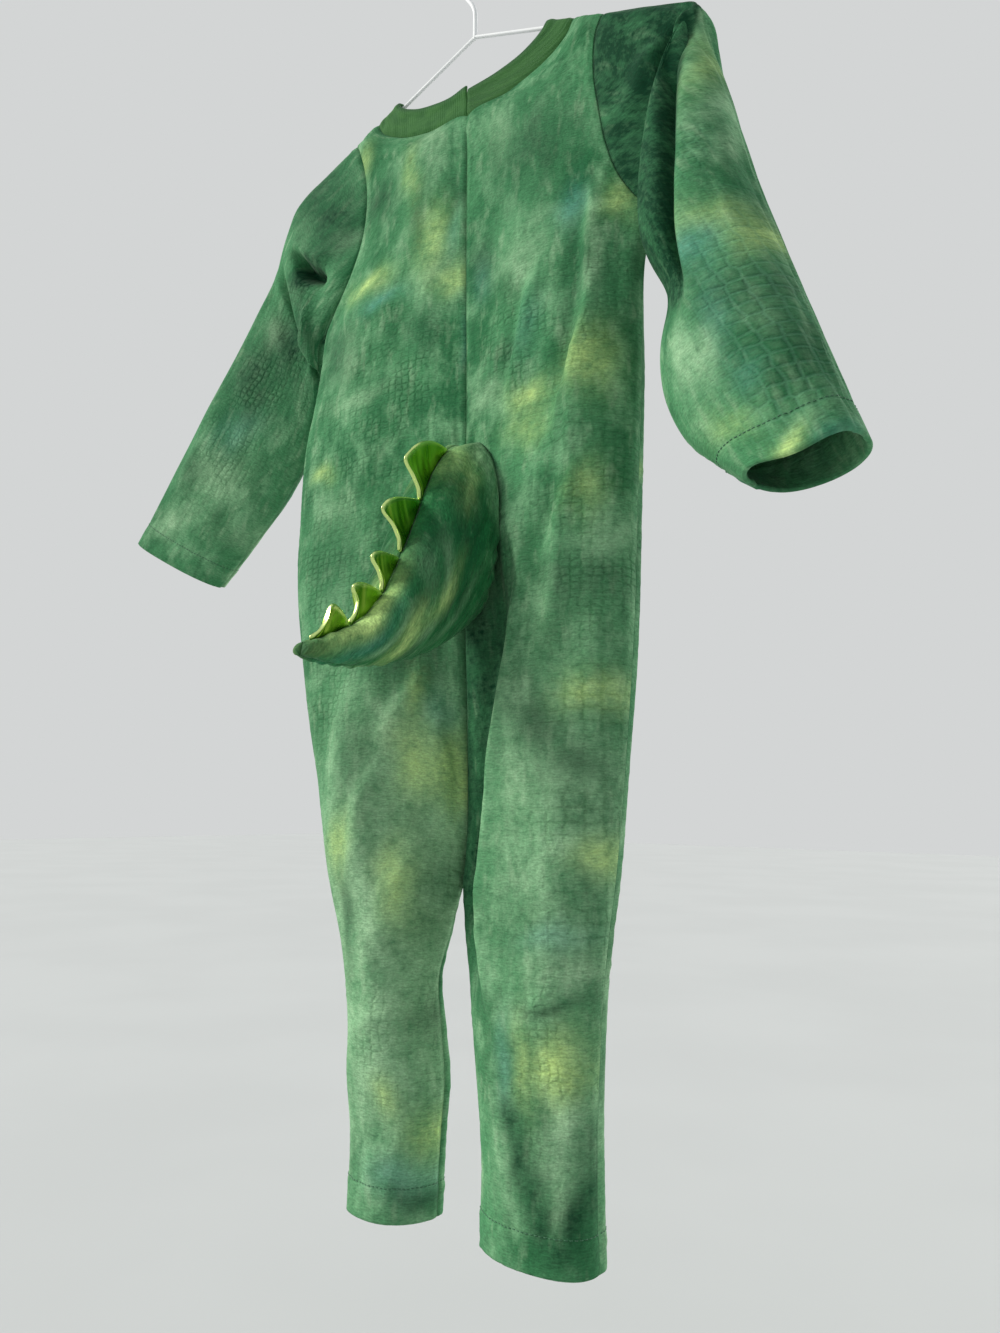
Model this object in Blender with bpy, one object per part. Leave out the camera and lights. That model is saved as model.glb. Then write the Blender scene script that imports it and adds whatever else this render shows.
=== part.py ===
"""A child's dinosaur costume in dyed velour, hung by its shoulders on a wire hanger.

Metres, +Z up. +X is the wearer's left and +Y the back of the costume, where the tail is.
The origin is the inside top of the hanger's hook, where a rail or a wall hook carries it.
"""

import math

import bmesh
import bpy
import numpy as np

# Cloth
WALL = 0.002
HEM_WALL = 0.0032
SHARPEST = 0.62
SEAM_GAP = 0.0003
COLUMNS = 13
ARMHOLE_ROWS = 9
LEG_ROWS = 6
BODY_ROWS = 13

# Hanger
WIRE = 0.0016
STEM_WIRE = 0.0019
STEM_FOOT = 0.0006
CORNER_Z = -0.085
ARM_REACH = 0.200
ARM_DROP = 0.0756
BAR_DROP = 0.014
ARM_BEND = 0.007
HOOK_RADIUS = 0.0216
HOOK_TAIL = math.radians(28)
STEM_TOP = -0.058
STEM_STRAIGHT = 0.010
BAR_INSET = 0.006
HOOK_START = math.radians(-25)
NECK_BEND = 0.009
CLOTH_ON_WIRE = 0.0038
ROUND_WIRE_OUT = 0.0044
ROUND_WIRE_DOWN = 0.0022

# Levels down the costume
UNDERARM_Z = -0.303
CROTCH_Z = -0.785
HEM_Z = -1.024
HEM_DEPTH = 0.024
CROTCH_BELOW = (0.036, 0.018)
CROTCH_ABOVE = (0.016, 0.046)
TAIL_TOP = -0.446
TAIL_FOOT = -0.585

LEFT, RIGHT = 1, -1
BACK, FRONT = 1, -1


def table(columns, rows):
    """A dictionary of columns from rows of numbers."""
    return dict(zip(columns.split(), np.array(rows, float).T))


# The centre seams, from the nape down to the crotch
CENTRE = table(
    "z x back front",
    [
        (-0.160, 0.002, 0.0060, -0.0060),
        (-0.215, 0.000, 0.0080, -0.0085),
        (-0.303, -0.004, 0.0115, -0.0120),
        (-0.450, -0.010, 0.0150, -0.0160),
        (-0.560, -0.008, 0.0120, -0.0190),
        (-0.620, -0.003, 0.0020, -0.0210),
        (-0.680, 0.003, -0.0090, -0.0230),
        (-0.740, 0.008, -0.0170, -0.0240),
        (-0.785, 0.012, -0.0200, -0.0200),
    ],
)

# The inseams, from the crotch down to the hem
INSEAM = {
    LEFT: table(
        "z x y",
        [
            (-0.785, 0.012, -0.020),
            (-0.820, 0.021, -0.018),
            (-0.850, 0.029, -0.014),
            (-0.875, 0.030, -0.012),
            (-0.910, 0.016, -0.008),
            (-0.955, 0.018, -0.006),
            (-1.024, 0.021, -0.006),
        ],
    ),
    RIGHT: table(
        "z x y",
        [
            (-0.785, 0.012, -0.020),
            (-0.820, 0.005, -0.020),
            (-0.850, -0.003, -0.019),
            (-0.875, -0.012, -0.014),
            (-0.910, -0.019, -0.006),
            (-0.955, -0.027, -0.002),
            (-1.024, -0.029, 0.000),
        ],
    ),
}

# The side seams, and how far and where across the cloth stands out between the seams
SIDES = {
    LEFT: table(
        "z x y across back front",
        [
            (-0.303, 0.167, 0.000, 0.55, 0.019, -0.016),
            (-0.370, 0.173, 0.000, 0.55, 0.023, -0.018),
            (-0.445, 0.180, 0.000, 0.58, 0.026, -0.020),
            (-0.517, 0.180, 0.000, 0.60, 0.030, -0.022),
            (-0.597, 0.167, 0.000, 0.60, 0.034, -0.024),
            (-0.690, 0.145, 0.000, 0.58, 0.037, -0.028),
            (-0.771, 0.121, 0.002, 0.52, 0.037, -0.031),
            (-0.820, 0.107, 0.004, 0.50, 0.035, -0.030),
            (-0.875, 0.095, 0.004, 0.50, 0.033, -0.029),
            (-0.955, 0.090, 0.005, 0.50, 0.031, -0.029),
            (-1.024, 0.088, 0.006, 0.50, 0.031, -0.029),
        ],
    ),
    RIGHT: table(
        "z x y across back front",
        [
            (-0.303, -0.166, 0.000, 0.50, 0.019, -0.016),
            (-0.350, -0.158, 0.000, 0.50, 0.022, -0.018),
            (-0.445, -0.155, 0.000, 0.50, 0.026, -0.020),
            (-0.517, -0.152, 0.000, 0.48, 0.030, -0.022),
            (-0.597, -0.149, 0.000, 0.46, 0.033, -0.024),
            (-0.690, -0.142, 0.000, 0.45, 0.034, -0.028),
            (-0.771, -0.134, 0.000, 0.46, 0.033, -0.030),
            (-0.820, -0.127, 0.000, 0.48, 0.032, -0.028),
            (-0.875, -0.122, 0.000, 0.50, 0.029, -0.027),
            (-0.955, -0.119, 0.000, 0.50, 0.027, -0.026),
            (-1.024, -0.120, 0.000, 0.50, 0.026, -0.025),
        ],
    ),
}

# The armhole seams, from the underarm up to the shoulder point
ARMHOLES = {
    LEFT: table(
        "x z",
        [
            (0.167, -0.303),
            (0.143, -0.275),
            (0.120, -0.247),
            (0.111, -0.212),
            (0.113, -0.180),
            (0.121, -0.153),
            (0.131, -0.131),
        ],
    ),
    RIGHT: table(
        "x z",
        [
            (-0.166, -0.303),
            (-0.151, -0.286),
            (-0.137, -0.258),
            (-0.128, -0.220),
            (-0.122, -0.183),
            (-0.121, -0.155),
            (-0.127, -0.130),
        ],
    ),
}
ARMHOLE_DEPTH = 0.011
ARMHOLE_CLOSES = 0.75
HOLE_OPENS = 1.15
HOLE_OPEN_AT = 0.45
HOLE_STEPS_LEFT = 1.4
CHEST_DEPTH = 0.017
SHOULDER_THINS = 0.008

# The side seam is round below, and softens to this share over this height under the arm
UNDERARM_ROUND = 0.4
SIDE_FADE = 0.11

# Below the crotch the inner edge of a leg turns as round as its outer edge, over this height
LEG_STARTS = 0.03
LEG_FADE = 0.09
SIDE_CURVE = 2.6

# The neckline under the band, and the band's free edge
NECK_HALF = 0.103
BAND_HALF = 0.079
NECK_BACK_Z = -0.160
NECK_FRONT_Z = -0.216
BAND_BACK_Z = -0.137
BAND_FRONT_Z = -0.193
BAND_WALL = 0.0026
BAND_NOTCH = 0.0012
NECK_LEAST = 0.0056
NECK_STEPS_LEFT = 1.3

# Sleeves: the upper and the underarm edge of each ring, and how far its back and front stand out
SLEEVE_COLUMNS = "over_x over_y over_z under_x under_y under_z back front"
SLEEVES = {
    LEFT: table(
        SLEEVE_COLUMNS,
        [
            (0.152, 0.000, -0.1380, 0.175, -0.001, -0.306, 0.013, 0.013),
            (0.174, 0.000, -0.1463, 0.180, -0.003, -0.310, 0.013, 0.014),
            (0.193, 0.000, -0.1535, 0.182, -0.004, -0.315, 0.013, 0.014),
            (0.209, 0.000, -0.1640, 0.183, -0.005, -0.321, 0.014, 0.015),
            (0.226, 0.000, -0.1930, 0.184, -0.006, -0.328, 0.012, 0.016),
            (0.234, -0.002, -0.2070, 0.186, -0.011, -0.336, -0.009, 0.016),
            (0.243, -0.004, -0.2190, 0.190, -0.017, -0.348, 0.005, 0.015),
            (0.265, -0.005, -0.2460, 0.203, -0.026, -0.378, 0.013, 0.014),
            (0.312, -0.004, -0.3040, 0.238, -0.030, -0.427, 0.018, 0.014),
            (0.375, -0.002, -0.3820, 0.290, -0.031, -0.471, 0.020, 0.015),
            (0.436, 0.000, -0.4580, 0.340, -0.030, -0.511, 0.019, 0.015),
        ],
    ),
    RIGHT: table(
        SLEEVE_COLUMNS,
        [
            (-0.148, 0.000, -0.1365, -0.174, -0.001, -0.307, 0.013, 0.013),
            (-0.168, 0.000, -0.1440, -0.178, -0.003, -0.315, 0.013, 0.014),
            (-0.185, 0.000, -0.1505, -0.180, -0.006, -0.332, 0.004, 0.016),
            (-0.197, 0.000, -0.1552, -0.183, -0.008, -0.356, -0.010, 0.018),
            (-0.204, 0.001, -0.1620, -0.188, -0.004, -0.382, 0.030, 0.018),
            (-0.211, 0.003, -0.1950, -0.191, 0.008, -0.410, 0.040, 0.020),
            (-0.227, 0.008, -0.2500, -0.193, 0.018, -0.442, 0.040, 0.023),
            (-0.249, 0.017, -0.3220, -0.198, 0.026, -0.474, 0.038, 0.026),
            (-0.278, 0.030, -0.4020, -0.214, 0.034, -0.502, 0.036, 0.030),
            (-0.302, 0.042, -0.4700, -0.235, 0.038, -0.520, 0.034, 0.033),
            (-0.321, 0.052, -0.5200, -0.252, 0.040, -0.533, 0.034, 0.034),
        ],
    ),
}

# A sleeve's trough ends here, where the cloth is held up by the hanger's arm
TROUGH_END = 0.012
TROUGH_FADE = (1.7, 2.5)
SLEEVE_SQUARE = 0.8

# The tail's side view: its ridge, its belly and its half width, from the root to the tip
TAIL = table(
    "ridge_y ridge_z belly_y belly_z half",
    [
        (0.022, -0.447, 0.016, -0.586, 0.044),
        (0.040, -0.463, 0.030, -0.600, 0.045),
        (0.053, -0.482, 0.048, -0.613, 0.043),
        (0.065, -0.512, 0.066, -0.622, 0.039),
        (0.080, -0.547, 0.086, -0.629, 0.034),
        (0.099, -0.583, 0.108, -0.634, 0.027),
        (0.122, -0.605, 0.130, -0.636, 0.020),
        (0.145, -0.616, 0.149, -0.636, 0.014),
        (0.163, -0.624, 0.165, -0.633, 0.008),
    ],
)
TAIL_SIDES = 8
TAIL_SQUARE = 0.85
TAIL_TIP_X = 0.001
TAIL_SEAT = 0.0008
SEAT_SHARES = (0.25, 0.5, 0.75, 1)

# The spikes: where each starts, peaks and ends along the ridge, and how far its peak stands out
SPIKES = table(
    "start peak end reach",
    [
        (0.020, 0.056, 0.072, 0.025),
        (0.0735, 0.101, 0.118, 0.028),
        (0.124, 0.140, 0.154, 0.020),
        (0.156, 0.174, 0.193, 0.019),
        (0.195, 0.206, 0.229, 0.015),
    ],
)
SPIKE_STEPS = (0, 0.15, 0.35, 0.55, 0.7, 0.8, 0.9, 1)
SPIKE_PEAK = 0.7
SPIKE_ROUND = 0.85
SPIKE_HOLLOW = 1.8
SPIKE_RIM = 0.0014
SPIKE_WALL = 0.0026
SPIKE_SWELL_ALONG = (0.7, 0.9, 1, 1.1, 1.3, 1.3, 1.2, 0.8)
SPIKE_SWELL_UP = (0.7, 1.1, 1)
RIDGE_STEP = 0.002
SPIKE_SEAT = 0.0005

# The largest folds: which panel, the line of the crest, half its width and its height
FOLDS = [
    ("back_right", (-0.118, -0.330), (-0.086, -0.640), 0.020, 0.0050),
    ("back_right", (-0.068, -0.280), (-0.040, -0.440), 0.018, 0.0035),
    ("back_right", (-0.100, -0.660), (-0.085, -0.860), 0.022, 0.0030),
    ("back_left", (0.125, -0.300), (0.060, -0.360), 0.016, 0.0040),
    ("back_left", (0.060, -0.620), (0.115, -0.800), 0.018, 0.0045),
    ("back_left", (0.095, -0.590), (0.135, -0.700), 0.016, -0.0035),
    ("back_left", (0.040, -0.880), (0.090, -0.930), 0.016, 0.0040),
    ("back_left", (0.045, -0.960), (0.085, -0.985), 0.014, -0.0030),
    ("back_right", (-0.045, -0.880), (-0.100, -0.860), 0.016, 0.0030),
    ("front_left", (0.120, -0.320), (0.085, -0.600), 0.020, 0.0045),
    ("front_left", (0.050, -0.640), (0.100, -0.820), 0.018, 0.0040),
    ("front_right", (-0.110, -0.330), (-0.070, -0.620), 0.020, 0.0045),
    ("front_right", (-0.040, -0.650), (-0.095, -0.840), 0.018, 0.0035),
]

COLOURS = {
    "cloth": ((0.075, 0.25, 0.10, 1), 0.85, 0.0),
    "band": ((0.05, 0.19, 0.06, 1), 0.8, 0.0),
    "lame": ((0.28, 0.45, 0.03, 1), 0.25, 0.9),
    "zip": ((0.04, 0.15, 0.06, 1), 0.6, 0.0),
    "wire": ((0.8, 0.8, 0.8, 1), 0.3, 0.0),
}


def smooth_curve(at, knots, values):
    """A curve through the knots that never overshoots them: a monotone cubic."""
    at = np.asarray(at, float)
    order = np.argsort(knots)
    knots, values = knots[order], values[order]
    step = np.diff(knots)
    slope = np.diff(values) / step
    tangent = np.zeros(len(knots))
    same = slope[:-1] * slope[1:] > 0
    mean = np.where(same, 2 * slope[:-1] * slope[1:] / np.where(same, slope[:-1] + slope[1:], 1), 0)
    tangent[1:-1] = mean
    tangent[0], tangent[-1] = slope[0], slope[-1]
    place = np.clip(np.searchsorted(knots, at) - 1, 0, len(step) - 1)
    u = np.clip((at - knots[place]) / step[place], 0, 1)
    hermite = (
        (2 * u**3 - 3 * u**2 + 1) * values[place]
        + (u**3 - 2 * u**2 + u) * step[place] * tangent[place]
        + (3 * u**2 - 2 * u**3) * values[place + 1]
        + (u**3 - u**2) * step[place] * tangent[place + 1]
    )
    return hermite


def column(source, name, at, by="z"):
    return smooth_curve(at, source[by], source[name])


def unit(vectors):
    return vectors / np.maximum(np.linalg.norm(vectors, axis=-1, keepdims=True), 1e-12)


def evenly(points, fractions):
    """The points at these fractions of a polyline's length."""
    run = np.concatenate([[0], np.cumsum(np.linalg.norm(np.diff(points, axis=0), axis=1))])
    at = np.asarray(fractions) * run[-1]
    return np.stack([np.interp(at, run, points[:, k]) for k in range(3)], axis=-1)


def wire_top(x):
    """The height of the cloth's middle where it lies over the hanger's arm."""
    return CORNER_Z - ARM_DROP / ARM_REACH * abs(x) + CLOTH_ON_WIRE


def levels():
    """The heights of the rows from the hem to the underarm, closer at the hem and the crotch."""
    legs = np.linspace(HEM_Z + HEM_DEPTH, CROTCH_Z - CROTCH_BELOW[0], LEG_ROWS)
    crotch = [CROTCH_Z - CROTCH_BELOW[1], CROTCH_Z, CROTCH_Z + CROTCH_ABOVE[0]]
    body = np.linspace(CROTCH_Z + CROTCH_ABOVE[1], UNDERARM_Z, BODY_ROWS)
    return np.concatenate([[HEM_Z], legs, crotch, body])


LEVELS = levels()
CROTCH_ROW = int(np.argmin(abs(LEVELS - CROTCH_Z)))
UNDERARM_ROW = len(LEVELS) - 1
NAPE_STEP = 4


def across_fractions():
    even = np.linspace(0, 1, COLUMNS)
    return 0.6 * even + 0.4 * (1 - np.cos(np.pi * even)) / 2


def profile(inner, outer, crest_at, crest, round_in, round_out):
    """A row of cloth between two seams: it rises to the crest and falls, rounded or soft at each end."""
    p = (1 - np.cos(np.linspace(0, np.pi, 121))) / 2
    rise = np.clip(p / crest_at, 0, 1)
    fall = np.clip((p - crest_at) / (1 - crest_at), 0, 1)
    soft_rise = np.sin(np.pi / 2 * rise) ** 2 * 0.5 + np.sin(np.pi / 2 * rise) * 0.5
    up = round_in * np.sqrt(1 - (1 - rise) ** 2) + (1 - round_in) * soft_rise
    full = (1 - fall**SIDE_CURVE) ** (1 / SIDE_CURVE)
    down = round_out * full + (1 - round_out) * np.cos(np.pi / 2 * fall) ** 2
    y = np.where(p < crest_at, inner[1] + (crest - inner[1]) * up, outer[1] + (crest - outer[1]) * down)
    x = inner[0] + (outer[0] - inner[0]) * p
    z = inner[2] + (outer[2] - inner[2]) * p
    return evenly(np.stack([x, y, z], axis=-1), across_fractions())


def beside_wire(point, face):
    """The cloth's next point where it bends down from the hanger's arm."""
    return point + np.array([0, face * ROUND_WIRE_OUT, -ROUND_WIRE_DOWN])


def neckline(side, face, step, half=NECK_HALF, back=NECK_BACK_Z, front=NECK_FRONT_Z):
    """A point of the neckline, from the centre up to the shoulder seam over the hanger's arm."""
    centre = back if face == BACK else front
    end = np.array([CENTRE["x"][0] + side * half, 0.0, 0.0])
    end[2] = wire_top(end[0])
    if step == ARMHOLE_ROWS:
        return end
    if step == ARMHOLE_ROWS - 1:
        return beside_wire(end, face)
    turn = math.pi / 2 * (step - NAPE_STEP) / (ARMHOLE_ROWS - NECK_STEPS_LEFT - NAPE_STEP)
    x = CENTRE["x"][0] + side * half * math.sin(turn)
    z = centre + (end[2] - centre) * (1 - math.cos(turn))
    depth = float(column(CENTRE, "back" if face == BACK else "front", min(z, NECK_BACK_Z)))
    return np.array([x, face * max(abs(depth) * math.cos(turn) ** 0.5, NECK_LEAST), z])


def upper_row(side, face, step):
    """A row above the underarm, from the centre seam or the neckline to the armhole."""
    rows = ARMHOLE_ROWS
    to_shoulder = min(step / (rows - HOLE_STEPS_LEFT), 1)
    if step <= NAPE_STEP:
        centre = NECK_BACK_Z if face == BACK else NECK_FRONT_Z
        z = UNDERARM_Z + (centre - UNDERARM_Z) * step / NAPE_STEP
        inner = np.array([column(CENTRE, "x", z), column(CENTRE, "back" if face == BACK else "front", z), z])
    else:
        inner = neckline(side, face, step)
    hole = ARMHOLES[side]
    marks = np.linspace(0, 1, len(hole["x"]))
    edge_x, edge_z = (smooth_curve(to_shoulder, marks, hole[name]) for name in ("x", "z"))
    outer = np.array([edge_x, 0.0, edge_z])
    opening = math.sin(math.pi * min(to_shoulder * HOLE_OPENS, 0.5)) if to_shoulder < HOLE_OPEN_AT else 1.0
    closing = math.sqrt(1 - ARMHOLE_CLOSES * to_shoulder**3)
    outer[1] = face * ARMHOLE_DEPTH * opening * closing
    if step >= rows - 1:
        outer = np.array([outer[0], 0.0, wire_top(outer[0])])
        outer = beside_wire(outer, face) if step < rows else outer
        return evenly(np.stack([inner, outer]), across_fractions())
    belly = face * (CHEST_DEPTH - SHOULDER_THINS * to_shoulder)
    crest = belly if abs(belly) > abs(inner[1]) else inner[1]
    return profile(inner, outer, 0.5, crest, 0.0, UNDERARM_ROUND * (1 - to_shoulder))


def lower_row(side, face, z):
    """A row at one height: half of the body above the crotch, half of a leg below it."""
    name = "back" if face == BACK else "front"
    if z >= CROTCH_Z - 1e-6:
        inner = np.array([column(CENTRE, "x", z), column(CENTRE, name, z), z])
    else:
        inner = np.array([column(INSEAM[side], "x", z), column(INSEAM[side], "y", z), z])
    edge = SIDES[side]
    outer = np.array([column(edge, "x", z), column(edge, "y", z), z])
    leg = float(np.clip((CROTCH_Z + LEG_STARTS - z) / LEG_FADE, 0, 1))
    flatter = float(np.clip((z - UNDERARM_Z) / SIDE_FADE + 1, 0, 1))
    side_round = 1 + (UNDERARM_ROUND - 1) * flatter
    crest = float(column(edge, name, z))
    return profile(inner, outer, float(column(edge, "across", z)), crest, leg, side_round)


def fold_height(panel, x, z, across):
    """How far the panel's folds push it out at each point, fading towards its seams."""
    height = np.zeros_like(x)
    for where, start, end, half, rise in FOLDS:
        if where != panel:
            continue
        start, end = np.array(start), np.array(end)
        along = end - start
        u = ((x - start[0]) * along[0] + (z - start[1]) * along[1]) / (along @ along)
        near = np.clip(u, 0, 1)
        away = np.hypot(x - start[0] - near * along[0], z - start[1] - near * along[1])
        height += rise * np.exp(-((away / half) ** 2))
    return height * np.sin(np.pi * across) ** 0.5


def panel_grid(side, face):
    """The middle surface of one panel: rows from the hem to the shoulder, columns from the centre out."""
    name = panel_name(side, face)
    rows = [lower_row(side, face, z) for z in LEVELS]
    rows += [upper_row(side, face, step) for step in range(1, ARMHOLE_ROWS + 1)]
    grid = np.array(rows)
    across = across_fractions()[None, :].repeat(len(rows), axis=0)
    fade = np.ones(len(rows))
    fade[-2:] = 0
    push = fold_height(name, grid[..., 0], grid[..., 2], across) * fade[:, None]
    grid[..., 1] += face * push
    return grid


def panel_name(side, face):
    return ("back" if face == BACK else "front") + ("_left" if side == LEFT else "_right")


def grid_normals(grid, outward, around=False):
    """Unit normals of a grid of points, on the side that `outward` points to."""
    down = np.gradient(grid, axis=0)
    if around:
        over = np.roll(grid, -1, axis=1) - np.roll(grid, 1, axis=1)
    else:
        over = np.gradient(grid, axis=1)
    normal = unit(np.cross(over, down))
    return normal * np.sign(np.sum(normal * outward, axis=-1, keepdims=True).mean())


class Panels:
    """The four body panels, with normals that agree where two of them are sewn together."""

    def __init__(self):
        self.keys = [(side, face) for side in (LEFT, RIGHT) for face in (BACK, FRONT)]
        self.grid = {key: panel_grid(*key) for key in self.keys}
        self.normal = {key: grid_normals(self.grid[key], np.array([0, key[1], 0])) for key in self.keys}
        self.spread = {key: np.ones(self.grid[key].shape[:2]) for key in self.keys}
        self.share_normals()

    def share(self, places):
        """One normal for the same point of several panels, and the wall's spread along it."""
        total = sum(self.normal[key][row, col] for key, row, col in places)
        length = np.linalg.norm(total) / len(places)
        for key, row, col in places:
            self.normal[key][row, col] = total / max(np.linalg.norm(total), 1e-9)
            self.spread[key][row, col] = 1 / np.clip(length, SHARPEST, 1)

    def share_normals(self):
        top = UNDERARM_ROW + ARMHOLE_ROWS
        for row in range(top + 1):
            for face in (BACK, FRONT):
                if CROTCH_ROW < row <= UNDERARM_ROW + NAPE_STEP:
                    self.share([((LEFT, face), row, 0), ((RIGHT, face), row, 0)])
            for side in (LEFT, RIGHT):
                if row < CROTCH_ROW:
                    self.share([((side, BACK), row, 0), ((side, FRONT), row, 0)])
                if row <= UNDERARM_ROW:
                    self.share([((side, BACK), row, -1), ((side, FRONT), row, -1)])
        for side in (LEFT, RIGHT):
            for col in range(COLUMNS):
                self.share([((side, BACK), top, col), ((side, FRONT), top, col)])
        for key in self.keys:
            self.normal[key][CROTCH_ROW, 0] = (0, 0, -1)
            self.spread[key][CROTCH_ROW, 0] = 1
            self.normal[key][UNDERARM_ROW, -1] = unit(np.array([key[0], 0, -1.0]))

    def trimmed(self, key):
        """The panel's middle surface with half a seam gap taken off each sewn edge."""
        grid, normal = self.grid[key].copy(), self.normal[key]
        full = self.grid[key]
        half_gap = SEAM_GAP / 2

        def pull(row, col, towards):
            way = towards - np.dot(towards, normal[row, col]) * normal[row, col]
            grid[row, col] += half_gap * way / max(np.linalg.norm(way), 1e-9)

        last = len(full) - 1
        for row in range(len(full)):
            pull(row, 0, full[row, 1] - full[row, 0])
            pull(row, -1, full[row, -2] - full[row, -1])
        for col in range(COLUMNS):
            pull(last, col, full[last - 1, col] - full[last, col])
        side, face = key
        grid[CROTCH_ROW, 0] = full[CROTCH_ROW, 0] + half_gap * np.array([side, face, 0.0])
        corner = np.array([-0.7 * side, face, -0.7])
        grid[UNDERARM_ROW, -1] = full[UNDERARM_ROW, -1] + half_gap * corner
        return grid


def new_object(name, vertices, faces, material):
    mesh = bpy.data.meshes.new(name)
    mesh.from_pydata([tuple(v) for v in vertices], [], [tuple(int(i) for i in f) for f in faces])
    shape = bmesh.new()
    shape.from_mesh(mesh)
    bmesh.ops.recalc_face_normals(shape, faces=shape.faces)
    bmesh.ops.triangulate(shape, faces=shape.faces)
    shape.to_mesh(mesh)
    shape.free()
    mesh.materials.append(material)
    mesh.shade_smooth()
    mesh.set_sharp_from_angle(angle=math.radians(50))
    piece = bpy.data.objects.new(name, mesh)
    costume_collection().objects.link(piece)
    return piece


def costume_collection():
    name = "dinosaur_costume"
    if name not in bpy.data.collections:
        bpy.context.scene.collection.children.link(bpy.data.collections.new(name))
    return bpy.data.collections[name]


def material_of(name):
    if name in bpy.data.materials:
        return bpy.data.materials[name]
    colour, roughness, metallic = COLOURS[name]
    made = bpy.data.materials.new(name)
    made.use_nodes = True
    shader = made.node_tree.nodes["Principled BSDF"]
    shader.inputs["Base Color"].default_value = colour
    shader.inputs["Roughness"].default_value = roughness
    shader.inputs["Metallic"].default_value = metallic
    return made


def wall(name, middle, normal, thickness, material, around=False):
    """A closed sheet: the middle surface moved out and in by half its thickness, with its rims closed."""
    rows, cols = middle.shape[:2]
    half = 0.5 * np.broadcast_to(thickness, (rows, cols))[..., None]
    outside, inside = middle + normal * half, middle - normal * half
    points = np.concatenate([outside.reshape(-1, 3), inside.reshape(-1, 3)])
    count = rows * cols
    faces = []
    across = range(cols if around else cols - 1)
    for r in range(rows - 1):
        for c in across:
            d = (c + 1) % cols
            a, b, e, f = r * cols + c, r * cols + d, (r + 1) * cols + d, (r + 1) * cols + c
            faces.append((a, b, e, f))
            faces.append((count + f, count + e, count + b, count + a))
    for r in (0, rows - 1):
        for c in across:
            a, b = r * cols + c, r * cols + (c + 1) % cols
            faces.append((a, count + a, count + b, b) if r == 0 else (b, count + b, count + a, a))
    if not around:
        for c in (0, cols - 1):
            for r in range(rows - 1):
                a, b = r * cols + c, (r + 1) * cols + c
                faces.append((b, count + b, count + a, a) if c == 0 else (a, count + a, count + b, b))
    return new_object(name, points, faces, material_of(material))


def make_panels(panels):
    for key in panels.keys:
        thickness = np.full(panels.grid[key].shape[:2], WALL)
        thickness[:2] = HEM_WALL
        thickness *= panels.spread[key]
        wall(panel_name(*key), panels.trimmed(key), panels.normal[key], thickness, "cloth")


def sleeve_rings(side, count=18):
    """The sleeve's rings after the armhole, each from the underarm over the back and down the front."""
    rings = SLEEVES[side]
    marks = np.linspace(0, 1, len(rings["back"]))
    at = np.linspace(0, 1, count)
    got = {name: smooth_curve(at, marks, rings[name]) for name in rings}
    over = np.stack([got["over_x"], got["over_y"], got["over_z"]], axis=-1)
    under = np.stack([got["under_x"], got["under_y"], got["under_z"]], axis=-1)
    middle = (over + under) / 2
    axis = unit(np.gradient(middle, axis=0))
    arm = (over - under) / 2
    out = unit(np.cross(axis, arm))
    out *= np.sign(out[:, 1:2])
    turn = np.pi * np.arange(2 * ARMHOLE_ROWS) / ARMHOLE_ROWS
    points = []
    for k in range(count):
        ring = []
        for angle in turn:
            bulge = got["back"][k] if angle <= np.pi else got["front"][k]
            share = abs(math.sin(angle)) ** SLEEVE_SQUARE
            if angle <= np.pi and bulge < TROUGH_END:
                fade = float(np.clip((angle - TROUGH_FADE[0]) / (TROUGH_FADE[1] - TROUGH_FADE[0]), 0, 1))
                fade = fade * fade * (3 - 2 * fade)
                bulge = bulge * (1 - fade) + TROUGH_END * fade
            lift = math.copysign(share * bulge, math.sin(angle)) if bulge >= 0 else share * bulge
            ring.append(middle[k] - arm[k] * math.cos(angle) + out[k] * lift)
        points.append(ring)
    return np.array(points)


def armhole_ring(panels, side):
    """The armhole's points, from the underarm up the back to the shoulder and down the front."""
    rows = np.arange(UNDERARM_ROW, UNDERARM_ROW + ARMHOLE_ROWS + 1)
    back = panels.grid[(side, BACK)][rows, -1]
    front = panels.grid[(side, FRONT)][rows, -1]
    return np.concatenate([back, front[-2:0:-1]])


def make_sleeve(panels, side):
    rings = sleeve_rings(side)
    grid = np.concatenate([armhole_ring(panels, side)[None], rings])
    centre = grid.mean(axis=1, keepdims=True)
    normal = grid_normals(grid, unit(grid - centre), around=True)
    rows = np.arange(UNDERARM_ROW, UNDERARM_ROW + ARMHOLE_ROWS + 1)
    places = [((side, BACK), row) for row in rows] + [((side, FRONT), row) for row in rows[-2:0:-1]]
    for k, (key, row) in enumerate(places):
        shared = panels.normal[key][row, -1]
        if row not in (rows[0], rows[-1]):
            shared = unit(shared + normal[0, k])
            panels.normal[key][row, -1] = shared
        normal[0, k] = shared
    way = grid[1] - grid[0]
    way -= np.sum(way * normal[0], axis=-1, keepdims=True) * normal[0]
    grid[0] += SEAM_GAP / 2 * unit(way)
    thickness = np.full(grid.shape[:2], WALL)
    thickness[-2:] = HEM_WALL
    wall("sleeve_left" if side == LEFT else "sleeve_right", grid, normal, thickness, "cloth", around=True)


def neck_chain():
    """The neckline's points in order, from the centre back all round to the centre back again."""
    steps = list(range(NAPE_STEP, ARMHOLE_ROWS + 1))
    chain = [((LEFT, BACK), step) for step in steps]
    chain += [((LEFT, FRONT), step) for step in steps[-2::-1]]
    chain += [((RIGHT, FRONT), step) for step in steps[1:]]
    chain += [((RIGHT, BACK), step) for step in steps[-2::-1]]
    return chain


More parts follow.
